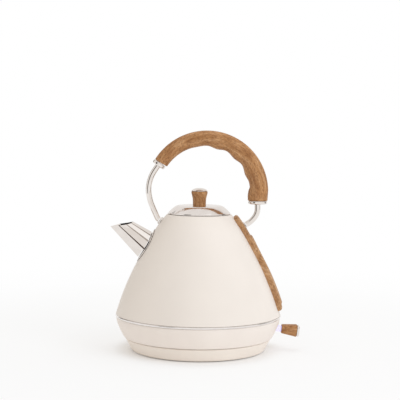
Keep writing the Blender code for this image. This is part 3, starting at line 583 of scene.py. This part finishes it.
heights = [SHELL_TOP - (SHELL_TOP - SHELL_FOOT) * k / 44 for k in range(45)]
outside = [(wall_radius(z), z) for z in heights]
inside = []
for z in reversed(heights[3:]):
    radial, vertical = wall_normal(z)
    inside.append((wall_radius(z) - SHELL_DEPTH * radial,
                   max(z - SHELL_DEPTH * vertical, SHELL_FOOT)))
mouth_roll = [(0.0374, 0.1640), (0.0374, 0.1664), (0.0390, 0.1664)]
shell = turned("jug_shell", softened(mouth_roll[1:] + outside + inside + mouth_roll[:1],
                                     0.0005, True), coating, 192, True)

radial, vertical = wall_normal(FILTER_HEIGHT)
drill(shell, 0.0125, 0.012,
      facing((-radial, 0, vertical), on_wall(FILTER_HEIGHT, 0, 0, -1)), 48)
shell.data.materials.append(steel)
for face in shell.data.polygons:
    middle = face.center
    outward = Vector((middle.x, middle.y, 0)).normalized()
    if face.normal.dot(outward) < -0.2 and middle.z < 0.1635:
        face.material_index = 1
fit(shell, "vessel", "cream_enamel", "body_shell")

coat(steel, "neck_ring")


# ---------------------------------------------------------------- jug: shoulder ring
# A thin rolled ring, chrome plated and polished, covers the joint of shell and skirt.

# Polished chrome plate: a mirror whose colour is tinted warm, a painted reflection of the cream
# things round it, and a few faint smudges that blur it.
chrome = mottled(
    "polished_chrome_plate", 0.012, 4.0, ((0.30, "#ECE6E1"), (0.75, "#E4DDD7")),
    {"Metallic": 1.0}, (0.035, 0.11), (0.35, 0.80), twist=0.8)

# Spun steel, buffed after spinning: the same warm tint as painted reflection, with a softer and
# duller mirror.
buffed = mottled(
    "buffed_spun_steel", 0.012, 4.0, ((0.30, "#EEE9E6"), (0.75, "#E7E1DD")),
    {"Metallic": 1.0}, (0.12, 0.18), (0.35, 0.80), twist=0.8)

ring = turned("shoulder_ring_polished", softened([
    (0.0978, 0.0445), (0.1003, 0.0445), (0.1010, 0.0442), (0.1014, 0.0437), (0.1014, 0.0425),
    (0.1010, 0.0420), (0.1003, 0.0417), (0.0978, 0.0417)], 0.0004, True), buffed, 192, True)
fit(ring, "vessel", "chrome", "shoulder_ring")


# ---------------------------------------------------------------- jug: spout
# The pointed spout is folded from polished steel, with eight flat sides and narrow
# creases. Its inside is dull steel painted dark, as painted shade, and its creases carry
# painted dark lines. It stands on an oval flange, and a woven steel filter covers the
# hole behind it.

def in_order(side):
    """A mirrored outline from the points of one side of the middle plane."""
    return side + [Vector((p.x, -p.y, p.z)) for p in reversed(side[1:-1])]


def eased(outline, radius):
    """An outline with five points round each corner and four along each side."""
    run = []
    count = len(outline)
    for k, here in enumerate(outline):
        back, ahead = outline[k - 1] - here, outline[(k + 1) % count] - here
        d = min(radius, back.length * 0.3, ahead.length * 0.3)
        start, end = here + back.normalized() * d, here + ahead.normalized() * d
        run += [(1 - t) ** 2 * start + 2 * t * (1 - t) * here + t * t * end
                for t in (0.0, 0.25, 0.5, 0.75, 1.0)]
        after = outline[(k + 1) % count]
        gap = min(radius, ahead.length * 0.3, (outline[(k + 2) % count] - after).length * 0.3)
        last = after - ahead.normalized() * gap
        run += [end.lerp(last, share) for share in (0.06, 0.35, 0.65, 0.94)]
    return run


def skin(name, rings, finish, loop=False):
    """Skin rings of points. The map "grain" runs along the rings' way, in metres."""
    bm = bmesh.new()
    grain = bm.loops.layers.uv.new("grain")
    rows = [[bm.verts.new(point) for point in ring] for ring in rings]
    count = len(rings[0])
    way, round_way = [0.0], []
    for near, far in zip(rings, rings[1:] + rings[:1]):
        way.append(way[-1] + sum((b - a).length for a, b in zip(near, far)) / count)
    for ring in rings:
        span = [0.0]
        for k in range(count):
            span.append(span[-1] + (ring[(k + 1) % count] - ring[k]).length)
        round_way.append(span)
    if not loop:
        for row, spot in ((rows[0], way[0]), (rows[-1], way[len(rows) - 1])):
            lid = bm.faces.new(row)
            for corner in lid.loops:
                corner[grain].uv = (spot + corner.vert.co.z, corner.vert.co.y)
    last = len(rows) if loop else len(rows) - 1
    for i in range(last):
        j = (i + 1) % len(rows)
        for k in range(count):
            face = bm.faces.new((rows[i][k], rows[i][(k + 1) % count],
                                 rows[j][(k + 1) % count], rows[j][k]))
            spots = ((way[i], round_way[i][k]), (way[i], round_way[i][k + 1]),
                     (way[i + 1], round_way[j][k + 1]), (way[i + 1], round_way[j][k]))
            for corner, spot in zip(face.loops, spots):
                corner[grain].uv = spot
    bmesh.ops.recalc_face_normals(bm, faces=bm.faces)
    mesh = meshed(name, bm)
    mesh.materials.append(finish)
    return settle(new_piece(name, mesh))


# The spout's inside: dull steel painted near black, a painted shade for the deep inside.
spout_inside_shade = mottled(
    "spout_inside_painted_shade", 0.008, 4.0, ((0.30, "#1C1612"), (0.75, "#302822")),
    {"Metallic": 1.0, "Roughness": 0.5})

# Along each fold a band is painted darker: painted shade and dark reflection of a rounded crease,
# with some thinner polish.
painted_dark_lines, painted_grey_lines = (
    mottled(name, 0.004, 3.0, ((0.35, dark), (0.70, light)), {"Metallic": 1.0, "Roughness": 0.28})
    for name, dark, light in (("painted_dark_line_shade", "#4A3C33", "#5E4F45"),
                              ("painted_grey_line_shade", "#A79C93", "#B8AEA6")))

foot_side = [on_wall(z, -y, 0.0017, -1) for z, y in (
    (0.1120, 0.0), (0.1240, 0.0155), (0.1335, 0.0145), (0.1400, 0.0095), (0.1434, 0.0))]
mouth_side = [Vector(p) for p in (
    (-0.1090, 0.0, 0.1502), (-0.0980, -0.0110, 0.1526), (-0.0885, -0.0122, 0.1540),
    (-0.0826, -0.0084, 0.1554), (-0.0808, 0.0, 0.1564))]
spout_foot, spout_mouth = eased(in_order(foot_side), 0.0011), eased(in_order(mouth_side), 0.0007)
for k, point in enumerate(spout_foot):      # the foot follows the flange between corners
    height = min(max(point.z - 0.0010, 0.1105), 0.1450)
    spout_foot[k] = on_wall(height, point.y, 0.0017, -1)
stations = [k / 14 for k in range(14)] + [0.983, 1.0]
outer = [[a.lerp(b, t) for a, b in zip(spout_foot, spout_mouth)] for t in stations]


def drawn_in(ring, depth):
    """A ring of points moved inwards, square to its own run."""
    middle = sum(ring, Vector()) / len(ring)
    square = sum(((a - middle).cross(b - middle) for a, b in zip(ring, ring[1:])), Vector())
    square.normalize()
    moved_in = []
    for k, here in enumerate(ring):
        along = ring[(k + 1) % len(ring)] - ring[k - 1]
        moved_in.append(here + square.cross(along).normalized() * depth)
    return moved_in


inner = [drawn_in(ring, 0.0003 if ring is outer[-1] else 0.0008) for ring in reversed(outer)]
spout = skin("folded_spout", outer + inner, chrome, True)
for finish in (spout_inside_shade, painted_dark_lines, painted_grey_lines):
    spout.data.materials.append(finish)
around = len(spout_foot)
# The inside faces and a band inside the mouth take the painted shade of the inside. The creases
# take painted dark lines (folds 1 and 7) and paler grey ones (the others).
for number, face in enumerate(spout.data.polygons):
    row, column = divmod(number, around)
    fold, step = divmod(column, 9)
    if row >= len(outer) - 1 and fold != 0 and not (fold == 7 and step >= 4):
        face.material_index = 1
    elif row == len(outer) - 2 and step >= 4 and fold in (1, 2, 5, 6):
        face.material_index = 1
    elif row < len(outer) - 1 and step < 4 and fold in (1, 2, 3, 5, 6, 7):
        face.material_index = 2 if fold in (1, 7) else 3
fit(spout, "vessel", "chrome", "spout")


def ring_on_wall(name, centre, across, up, count, section, finish):
    """An oval ring on the wall. Its section is given as (share of its size, lift)."""
    rings = []
    for k in range(count):
        angle = 2 * math.pi * k / count
        rings.append([on_wall(centre + share * up * math.sin(angle),
                              share * across * math.cos(angle), lift, -1)
                      for share, lift in section])
    return skin(name, rings, finish, True)


flange = ring_on_wall("spout_flange_polished", 0.1274, 0.0205, 0.0196, 72, (
    (1.0, 0.0003), (1.0, 0.0007), (0.985, 0.0010), (0.96, 0.0011), (0.86, 0.0011),
    (0.85, 0.0007), (0.80, 0.0007), (0.79, 0.0010), (0.72, 0.0010), (0.72, 0.0003)), chrome)
flange.data.materials.append(painted_dark_lines)
# The flange's edge on the jug and its rolled groove take the painted dark lines: painted shade in
# the groove and a painted contact shadow at the edge.
for number, face in enumerate(flange.data.polygons):
    if number % 10 in (0, 4, 5, 6):     # the edge on the jug, and the rolled groove
        face.material_index = 1
fit(flange, "vessel", "chrome", "spout_flange")

# The filter is a cloth of steel wire. Its real wires are 0.1 mm, 0.3 mm apart, too fine
# to show, so they are 0.24 mm, 1.1 mm apart. The tree puts a round bar on each edge.
barring = new_tree("barring", {"Bar Radius": "Float", "Sides": "Int", "Finish": "Material"})
given = add(barring, "NodeGroupInput")
line = add(barring, "GeometryNodeMeshToCurve", {"Mesh": given.outputs["Geometry"]})
section = add(barring, "GeometryNodeCurvePrimitiveCircle", {
    "Resolution": given.outputs["Sides"], "Radius": given.outputs["Bar Radius"]})
bars = add(barring, "GeometryNodeCurveToMesh", {
    "Curve": line.outputs[0], "Profile Curve": section.outputs[0], "Fill Caps": True})
end_tree(barring, bars.outputs[0], given)

WIRE_PITCH, CLOTH_RADIUS = 0.0011, 0.0138
FILTER_SQUASH = 0.93                # its height on the sloping wall for each unit across
points, edges = [], []
for direction in (0, 1):
    for n in range(-12, 13):
        across = n * WIRE_PITCH
        half = math.sqrt(max(CLOTH_RADIUS ** 2 - across ** 2, 0))
        first = len(points)
        for m in range(17):
            along = half * (2 * m / 16 - 1)
            lift = -0.0018 + 0.0001 * (1 if (m + n) % 2 else -1)
            y, z = (across, along) if direction else (along, across)
            points.append(on_wall(FILTER_HEIGHT + z * FILTER_SQUASH, y, lift, -1))
        edges += [(k, k + 1) for k in range(first, len(points) - 1)]
cloth = grown("filter_cloth", drawn("filter_cloth", points, edges), barring,
              {"Bar Radius": 0.00012, "Sides": 5, "Finish": steel})
rim = ring_on_wall("filter_rim", FILTER_HEIGHT, 1.0, FILTER_SQUASH, 60, (
    (0.0145, -0.0014), (0.0134, -0.0014), (0.0134, -0.0022), (0.0145, -0.0022)), steel)
fit(rim, "vessel", "brushed_steel", "spout_filter")
fit(cloth, "vessel", "brushed_steel", "spout_filter")


# ---------------------------------------------------------------- handle: bars and feet
# The handle is one steel bar, bent, polished and chrome plated. It ends on two small
# turned discs, each held by a screw from inside the jug.

def bent_bar(name, path, radius, finish):
    """A round bar along a path of points."""
    mesh = drawn(name, path, [(k, k + 1) for k in range(len(path) - 1)])
    return grown(name, mesh, barring, {"Bar Radius": radius, "Sides": 32, "Finish": finish})


ARC_CENTRE = Vector((0.0091, 0.0, 0.1938))
GRIP_FRONT = 148.2                  # degrees along the arc, from the rear
BAR_FRONT = 0.0673                  # the bar's distance from the centre, at the front
BAR_DRIFT = 0.0051                  # and how much nearer it is at the rear
BAR_RADIUS = 0.0035
BAR_REAR_X = 0.0713                 # where it comes straight down behind


def on_arc(degrees, reach):
    """A point in the handle's plane, from its angle and its distance from the centre."""
    angle = math.radians(degrees)
    return ARC_CENTRE + reach * Vector((math.cos(angle), 0.0, math.sin(angle)))


facing_down = math.radians(GRIP_FRONT - 4 + 90)
front_way = Vector((math.cos(facing_down), 0.0, math.sin(facing_down)))
front_seat = on_arc(GRIP_FRONT + 0.55, BAR_FRONT)
for end, height, side, foot_lift, disc_depth, disc_radius in (
        ("front", 0.1575, -1, 0.0003, 0.0020, 0.0053),
        ("rear", 0.1506, 1, 0.0054, 0.0010, 0.0046)):
    radial, vertical = wall_normal(height)
    out = Vector((side * radial, 0, vertical))
    tip = on_wall(height, 0, foot_lift + disc_depth + 0.0006, side)
    if end == "front":
        path = [front_seat - front_way * 0.0032, front_seat, front_seat + front_way * 0.0045,
                front_seat + front_way * 0.0090, (-0.0575, 0, 0.2152), (-0.0599, 0, 0.2097),
                (-0.0618, 0, 0.2020), (-0.0622, 0, 0.1930), (-0.0602, 0, 0.1825),
                (-0.0574, 0, 0.1750), (-0.0540, 0, 0.1673), (-0.0521, 0, 0.1630),
                tip + out * 0.0018, tip]
    else:
        path = [(BAR_REAR_X, 0, 0.1880), (BAR_REAR_X, 0, 0.1830), (BAR_REAR_X, 0, 0.1775),
                (0.0712, 0, 0.1720), (0.0699, 0, 0.1670), (0.0672, 0, 0.1625),
                tip + out * 0.0055, tip]
    bar_piece = bent_bar(f"handle_bar_{end}", flowing(path, 8), BAR_RADIUS, chrome)
    fit(bar_piece, "vessel", "chrome", f"handle_tube_{end}")
    disc = turned(f"handle_disc_{end}", softened([
        (0.0, disc_depth), (disc_radius - 0.0011, disc_depth),
        (disc_radius - 0.0002, disc_depth - 0.0006), (disc_radius, 0.0), (0.0, 0.0)], 0.0004),
        chrome, 48)
    disc.data.transform(facing(out, on_wall(height, 0, foot_lift, side)))
    fit(disc, "vessel", "chrome", f"handle_foot_{end}")
coat(steel, "handle_core", "handle_screw_front", "handle_screw_rear")


# ---------------------------------------------------------------- handle: grip
# The grip is two moulded halves closed round the bar, with four finger grooves below.
# They carry a printed wood-grain film. A polished collar closes each end.

# Wood-grain film on plastic: caramel brown, matt, with short dark pores along the grip.
# Real pores are 0.3 mm wide, too fine to show, so they are drawn 0.9 mm wide.
# The strip's copy of the same film is painted lighter, as painted light on the strip.
def printed_film(name, *codes):
    """Wood-grain film on the map "grain", from its dark, middle and light ground colours."""
    film, tree = blank_finish(name)
    grain = add(tree, "ShaderNodeUVMap", uv_map="grain")
    noises = []
    for along, across, look in (        # sizes along and across the grain, in metres
            (0.0034, 0.0012, {"Detail": 4.0, "Roughness": 0.62, "Distortion": 0.6}),
            (0.022, 0.0038, {"Detail": 2.0, "Distortion": 0.4}), (0.016, 0.009, {"Detail": 2.0})):
        run = add(tree, "ShaderNodeMapping", {"Vector": grain.outputs["UV"],
                                              "Scale": (1 / along, 1 / across, 1.0)})
        noise = add(tree, "ShaderNodeTexNoise", {"Vector": run.outputs["Vector"],
                                                 "Scale": 1.0, **look})
        noises.append(noise.outputs["Fac"])
    pores, year_rings, patches = noises
    ground = add(tree, "ShaderNodeValToRGB", {"Fac": year_rings},
                 stops=list(zip((0.28, 0.50, 0.74), codes)))
    warm = add(tree, "ShaderNodeValToRGB", {"Fac": patches},
               stops=[(0.30, "#DDD2C8"), (0.70, "#FFFFFF")])
    toned = add(tree, "ShaderNodeMix", {0: 1.0, 6: ground.outputs["Color"],
                                        7: warm.outputs["Color"]},
                data_type="RGBA", blend_type="MULTIPLY")
    pore_mask = add(tree, "ShaderNodeMapRange", {"Value": pores, "From Min": 0.54,
                                                 "From Max": 0.36, "To Min": 0.0, "To Max": 0.66})
    colour = add(tree, "ShaderNodeMix", {0: pore_mask.outputs["Result"], 6: toned.outputs[2],
                                         7: linear("#6B3F1C")}, data_type="RGBA")
    matt_share = add(tree, "ShaderNodeMapRange", {"Value": pores, "To Min": 0.66,
                                                  "To Max": 0.50})
    relief = add(tree, "ShaderNodeBump", {"Height": pores, "Strength": 0.35,
                                          "Distance": 0.0003})
    shader = add(tree, "ShaderNodeBsdfPrincipled", {
        "Base Color": colour.outputs[2], "Roughness": matt_share.outputs["Result"],
        "Normal": relief.outputs["Normal"], "IOR": 1.46})
    add(tree, "ShaderNodeOutputMaterial", {"Surface": shader.outputs[0]})
    return film


wood_film = printed_film("wood_grain_film", "#A87443", "#C18E5C", "#D7A97B")
# The strip's copy: the same film painted lighter, which stands for more light falling on the
# strip.
lit_wood_film = printed_film("wood_grain_film_painted_lighter", "#B58554", "#CEA173", "#E2BB93")


GRIP_REACH = 0.0750                 # its outer edge from the arc's centre
GROOVES_FROM, GROOVES_TO = 91.0, 12.0               # degrees
GROOVE_PITCH, GROOVE_DEPTH = 26.3, 0.0022           # degrees, metres
GRIP_FOOT = 0.1840


def grip_depth(degrees):
    """Thickness of the grip along the arc's radius, with its finger grooves."""
    if degrees > GROOVES_FROM:
        taper = (GRIP_FRONT - degrees) / (GRIP_FRONT - GROOVES_FROM)
        return 0.0172 + 0.0014 * taper + 0.0005 * math.exp(-((degrees - 103.0) / 7.0) ** 2)
    if degrees > GROOVES_TO:
        groove = 1 - math.cos(2 * math.pi * (GROOVES_FROM - degrees) / GROOVE_PITCH)
        taper = (GROOVES_FROM - degrees) / (GROOVES_FROM - GROOVES_TO)
        return 0.0186 + 0.0037 * taper + GROOVE_DEPTH / 2 * groove
    lip = min(max((GROOVES_TO - 4.0 - degrees) / 7.0, 0.0), 1.0)
    return 0.0223 + 0.0021 * lip * lip * (3 - 2 * lip)


def half_ring(outer, inner, core, half_width, sign, shrink=0.0):
    """One half of the grip's round section, with a seam edge and room for the bar."""
    middle, spoke = (outer + inner) / 2, (outer - inner) / 2
    spoke = spoke - spoke.normalized() * shrink
    along, across = spoke.normalized(), Vector((0.0, sign, 0.0))
    split, bore = 0.00015, BAR_RADIUS + 0.0008
    ring = [middle + (spoke.length - 0.0004) * along + across * split]
    for k in range(25):
        angle = 0.035 + (math.pi - 0.07) * k / 24
        ring.append(middle + spoke * math.cos(angle)
                    + across * ((half_width - shrink) * math.sin(angle) + split))
    ring.append(middle - (spoke.length - 0.0004) * along + across * split)
    for k in range(7):
        angle = math.pi * k / 6
        ring.append(core - along * (bore * math.cos(angle))
                    + across * (bore * math.sin(angle) + split))
    return ring


for name, sign, node in (("grip_half_near", -1, "grip_near_half"),
                         ("grip_half_far", 1, "grip_far_half")):
    grip_rings = []
    turns = [GRIP_FRONT - (GRIP_FRONT - 2.0) * k / 110 for k in range(111)]
    for degrees, shrink in ([(GRIP_FRONT, 0.0008), (GRIP_FRONT - 0.14, 0.0003)]
                            + [(d, 0.0) for d in [GRIP_FRONT - 0.6] + turns[1:]]):
        share = (GRIP_FRONT - degrees) / (GRIP_FRONT + 8.0)
        grip_rings.append(half_ring(
            on_arc(degrees, GRIP_REACH), on_arc(degrees, GRIP_REACH - grip_depth(degrees)),
            on_arc(degrees, BAR_FRONT - BAR_DRIFT * share), 0.0083 + 0.0035 * share, sign,
            shrink))
    for height, shrink in ((0.1898, -0.0002), (0.1885, -0.0002), (0.1860, 0.0),
                           (0.1844, 0.0), (0.1841, 0.0002), (GRIP_FOOT, 0.0005)):
        grip_rings.append(half_ring(
            Vector((0.0834, 0, height)), Vector((0.0592, 0, height)),
            Vector((BAR_REAR_X, 0, height)), 0.0118, sign, shrink))
    fit(skin(name, grip_rings, wood_film), "vessel", "wood_look", node)

for end, radius, depth, way, seat in (
        ("front", 0.0085, 0.0046, front_way, front_seat),
        ("rear", 0.0118, 0.0042, Vector((0, 0, -1)),
         Vector((BAR_REAR_X, 0, GRIP_FOOT - 0.0003)))):
    collar = turned(f"grip_collar_{end}_polished", softened([
        (0.0039, depth), (radius - 0.0010, depth), (radius, depth - 0.0010),
        (radius, 0.0014), (radius - 0.0004, 0.0011), (radius, 0.0008),
        (radius - 0.0005, 0.0), (0.0039, 0.0)], 0.0006, True), chrome, 72, True)
    collar.data.transform(facing(way, seat))
    fit(collar, "vessel", "chrome", f"grip_collar_{end}")


# ---------------------------------------------------------------- rear strip and gauge
# A curved moulded strip with the same wood film, in a copy painted lighter as painted light,
# is screwed to the jug's back. Its raised frame holds a clear polycarbonate window, with
# level marks, over a silicone seal.

STRIP_TOP = 0.1630
STRIP_NARROW, STRIP_WIDE = 0.0150, 0.0210           # half widths
STRIP_DEPTH, FRAME_DEPTH = 0.0048, 0.0063
WINDOW_TOP, WINDOW_FOOT, WINDOW_HALF = 0.1300, 0.0670, 0.0055


def strip_section(height, half, thickness, soft=0.0014):
    """A section across the strip, flat on the wall, with rounded outer edges."""
    base_lift = 0.0003
    section = [on_wall(height, half * (2 * k / 10 - 1), 0.00002, 1) for k in range(11)]
    edge = []
    for k in range(6):
        angle = math.pi / 2 * k / 5
        edge.append((half - soft * (1 - math.cos(angle)),
                     base_lift + thickness - soft * (1 - math.sin(angle))))
    section += [on_wall(height, y, lift, 1) for y, lift in edge]
    inner_half = half - soft
    section += [on_wall(height, inner_half * (1 - 2 * k / 12), base_lift + thickness, 1)
                for k in range(1, 12)]
    section += [on_wall(height, -y, lift, 1) for y, lift in reversed(edge)]
    return section


def strip_half_width(height):
    """Half the strip's width: narrow above, wider towards its foot."""
    share = min(max((0.1150 - height) / 0.0370, 0.0), 1.0)
    return STRIP_NARROW + (STRIP_WIDE - STRIP_NARROW) * share * share * (3 - 2 * share)


strip_rings = []
for k in range(11):
    angle = math.radians(8 + 82 * k / 10)
    rise = min(1.0, 0.55 + 0.9 * math.sin(angle))
    strip_rings.append(strip_section(
        STRIP_TOP - 0.0100 * (1 - math.cos(angle)),
        STRIP_NARROW * (0.35 + 0.65 * math.sin(angle)), STRIP_DEPTH * rise))
for height, thickness in (
        (0.1490, STRIP_DEPTH), (0.1450, STRIP_DEPTH), (0.1410, STRIP_DEPTH),
        (0.1389, STRIP_DEPTH), (0.1386, STRIP_DEPTH), (0.1382, 0.0052), (0.1377, 0.0061),
        (0.1374, FRAME_DEPTH), (0.1370, FRAME_DEPTH)):
    strip_rings.append(strip_section(height, STRIP_NARROW, thickness))
for k in range(1, 30):
    height = 0.1370 - 0.0787 * k / 30
    strip_rings.append(strip_section(height, strip_half_width(height), FRAME_DEPTH))
for height, half, thickness in (
        (0.0583, STRIP_WIDE, FRAME_DEPTH), (0.0580, STRIP_WIDE, 0.0062),
        (0.0574, STRIP_WIDE, 0.0056), (0.0568, STRIP_WIDE, 0.0053),
        (0.0550, STRIP_WIDE, 0.0050), (0.0533, STRIP_WIDE, STRIP_DEPTH),
        (0.0522, 0.0207, 0.0046), (0.0514, 0.0202, 0.0040),
        (0.0509, 0.0194, 0.0032), (0.0506, 0.0180, 0.0022)):
    strip_rings.append(strip_section(height, half, thickness, min(0.0014, thickness * 0.5)))
strip = skin("rear_strip_wood", strip_rings, lit_wood_film)


def gauge_block(name, top, foot, half, low, high, finish):
    """A block over the wall between two heights, with rounded ends."""
    rings = []
    for k in range(25):
        share = k / 24
        near_end = min(share, 1 - share) * (top - foot)
        narrow = half * min(1.0, math.sqrt(max(0.0, 1 - (1 - min(near_end / half, 1)) ** 2))
                            * 0.999 + 0.001)
        narrow = max(narrow, half * 0.30)
        ys = [narrow * (2 * n / 6 - 1) for n in range(7)]
        height = top + (foot - top) * share
        rings.append([on_wall(height, y, low, 1) for y in ys]
                     + [on_wall(height, y, high, 1) for y in reversed(ys)])
    return skin(name, rings, finish)


cut(strip, gauge_block("window_way", WINDOW_TOP, WINDOW_FOOT, WINDOW_HALF, -0.0002, 0.0120,
                       lit_wood_film))
fit(strip, "vessel", "wood_look", "rear_strip")

# Clear polycarbonate: smooth and glossy, very slightly smoky.
clear = mottled("clear_polycarbonate", 0.010, 2.0, ((0.30, "#DDE2E4"), (0.75, "#EEF0F0")),
                {"Transmission Weight": 0.85, "IOR": 1.58}, (0.04, 0.14))

window = gauge_block("gauge_pane", WINDOW_TOP - 0.0003, WINDOW_FOOT + 0.0003,
                     WINDOW_HALF - 0.0003, 0.0015, 0.0057, clear)
fit(window, "vessel", "clear_plastic", "gauge_window")

# Printed white level marks on the window.
mark_ink = mottled("printed_white_ink", 0.0006, 2.0, ((0.30, "#EDEAE4"), (0.70, "#FAF8F4")),
                   {"Roughness": 0.55})
for number in range(6):
    height = 0.0760 + number * 0.0090
    half = 0.0040 if number in (0, 5) else 0.0022
    ys = [-0.0040 + 2 * half * n / 4 for n in range(5)]
    rings = [[on_wall(z, y, 0.00575, 1) for y in ys]
             + [on_wall(z, y, 0.00585, 1) for y in reversed(ys)]
             for z in (height + 0.00035, height - 0.00035)]
    mark = skin(f"level_mark_{number + 1}", rings, mark_ink)
    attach(mark, "vessel")

# Silicone rubber: milky, soft and slightly see-through at its edges.
silicone = mottled(
    "moulded_silicone", 0.006, 3.0, ((0.30, "#D2CFC9"), (0.75, "#E2DFDA")),
    {"Roughness": 0.62, "Subsurface Weight": 0.2, "Subsurface Scale": 0.002})
coat(silicone, "gauge_seal", "steam_tube", "lid_seal")


# ---------------------------------------------------------------- lid
# The lid is a spun steel cover, polished, on a black nylon plug with a silicone seal. A
# turned knob in wood film, with a polished cap, is held by a screw from below.

lid = turned("lid_cover_polished", softened(
    [(0.0019, 0.1766), (0.0019, 0.1778), (0.0100, 0.1778)]
    + flowing([(0.0160, 0.1777), (0.0220, 0.1775), (0.0262, 0.1771), (0.0288, 0.1763),
               (0.0316, 0.1744), (0.0345, 0.1719), (0.0372, 0.1692), (0.0380, 0.1683)], 4)
    + [(0.0381, 0.1674), (0.0378, 0.1668), (0.0369, 0.1668), (0.0368, 0.1683),
       (0.0342, 0.1704), (0.0290, 0.1749), (0.0268, 0.1758), (0.0220, 0.1763)], 0.0004, True),
    buffed, 160, True)
fit(lid, "lid", "chrome", "lid_cover")
coat(nylon, "lid_plug")
coat(steel, "knob_screw")

knob_rings = []
knob_profile = [(0.0078, 0.1776)] + flowing([(0.0080, 0.1777), (0.0080, 0.1800),
                                             (0.0082, 0.1845), (0.0088, 0.1880),
                                             (0.0098, 0.1920), (0.0099, 0.1938)], 4) + [
    (0.0098, 0.1943), (0.0093, 0.1945)]
for radius, height in knob_profile:
    knob_rings.append([Vector((radius * math.cos(2 * math.pi * k / 56),
                               radius * math.sin(2 * math.pi * k / 56), height))
                       for k in range(56)])
knob = skin("knob_wood", knob_rings, wood_film)
fit(knob, "lid", "wood_look", "lid_knob")
cap = turned("knob_cap_polished", softened(
    flowing([(0.0, 0.1986), (0.0024, 0.1985), (0.0045, 0.1982), (0.0064, 0.1976),
             (0.0080, 0.1969), (0.0091, 0.1961)], 3)
    + [(0.0098, 0.1955), (0.0098, 0.1948), (0.0, 0.1948)], 0.0004), chrome, 64)
fit(cap, "lid", "chrome", "knob_cap")


# ---------------------------------------------------------------- switch lever
# The lever is a clear polycarbonate stem, lit violet from inside when the kettle is on.
# It carries a flared paddle in wood film with a polished cap on its end.

# Lit polycarbonate: milky white with a violet glow.
lit_stem = mottled(
    "lit_polycarbonate", 0.006, 1.0, ((0.30, "#E0DCF9"), (0.75, "#ECE9FC")),
    {"Roughness": 0.25, "Transmission Weight": 0.35, "IOR": 1.58,
     "Emission Color": linear("#D9D4FF"), "Emission Strength": 0.26})
coat(lit_stem, "indicator_lamp")

PIVOT, LEVER_TILT = (0.0800, 0.0, 0.0287), 6.7       # place, degrees below the level
lever = Matrix.Translation(PIVOT) @ Matrix.Rotation(math.radians(LEVER_TILT), 4, "Y")


def lever_ring(reach, half_width, half_height, power=4.0, count=40):
    """A rounded rectangle across the lever, at a distance from its pivot."""
    ring = []
    for k in range(count):
        angle = 2 * math.pi * (k + 0.5) / count
        across, up = math.cos(angle), math.sin(angle)
        ring.append(lever @ Vector((
            reach, half_width * math.copysign(abs(across) ** (2 / power), across),
            half_height * math.copysign(abs(up) ** (2 / power), up))))
    return ring


def lever_piece(name, stations, finish, power=4.0):
    """A piece of the lever from (reach, half width, half height) stations."""
    return skin(name, [lever_ring(*station, power) for station in stations], finish)


stem = lever_piece("switch_stem_lit", [
    (-0.0055, 0.0044, 0.0030), (-0.0050, 0.0050, 0.0036), (0.0050, 0.0050, 0.0036),
    (0.0221, 0.0050, 0.0036), (0.0226, 0.0048, 0.0034)], lit_stem)
drill(stem, 0.00208, 0.016, Matrix.Translation(PIVOT) @ Matrix.Rotation(math.pi / 2, 4, "X"), 24)
fit(stem, "switch_lever", "clear_plastic", "switch_stem")

paddle = lever_piece("switch_paddle_wood", [
    (0.0229, 0.0060, 0.0041), (0.0230, 0.0065, 0.0046), (0.0233, 0.0068, 0.0049),
    (0.0237, 0.0070, 0.0051), (0.0290, 0.00735, 0.0057), (0.0350, 0.00778, 0.0064),
    (0.0409, 0.0082, 0.0071), (0.0413, 0.0081, 0.0070), (0.0416, 0.0079, 0.0068),
    (0.0417, 0.0075, 0.0064)], wood_film, 5.0)
fit(paddle, "switch_lever", "wood_look", "switch_paddle")
end_cap = lever_piece("switch_cap_polished", [
    (0.0420, 0.0074, 0.0064), (0.0421, 0.0077, 0.0067), (0.0436, 0.0077, 0.0067),
    (0.0443, 0.0075, 0.0065), (0.0447, 0.0070, 0.0060), (0.0450, 0.0062, 0.0052),
    (0.0451, 0.0053, 0.0043)], buffed)
fit(end_cap, "switch_lever", "chrome", "switch_cap")


# ---------------------------------------------------------------- update

bpy.context.view_layer.update()
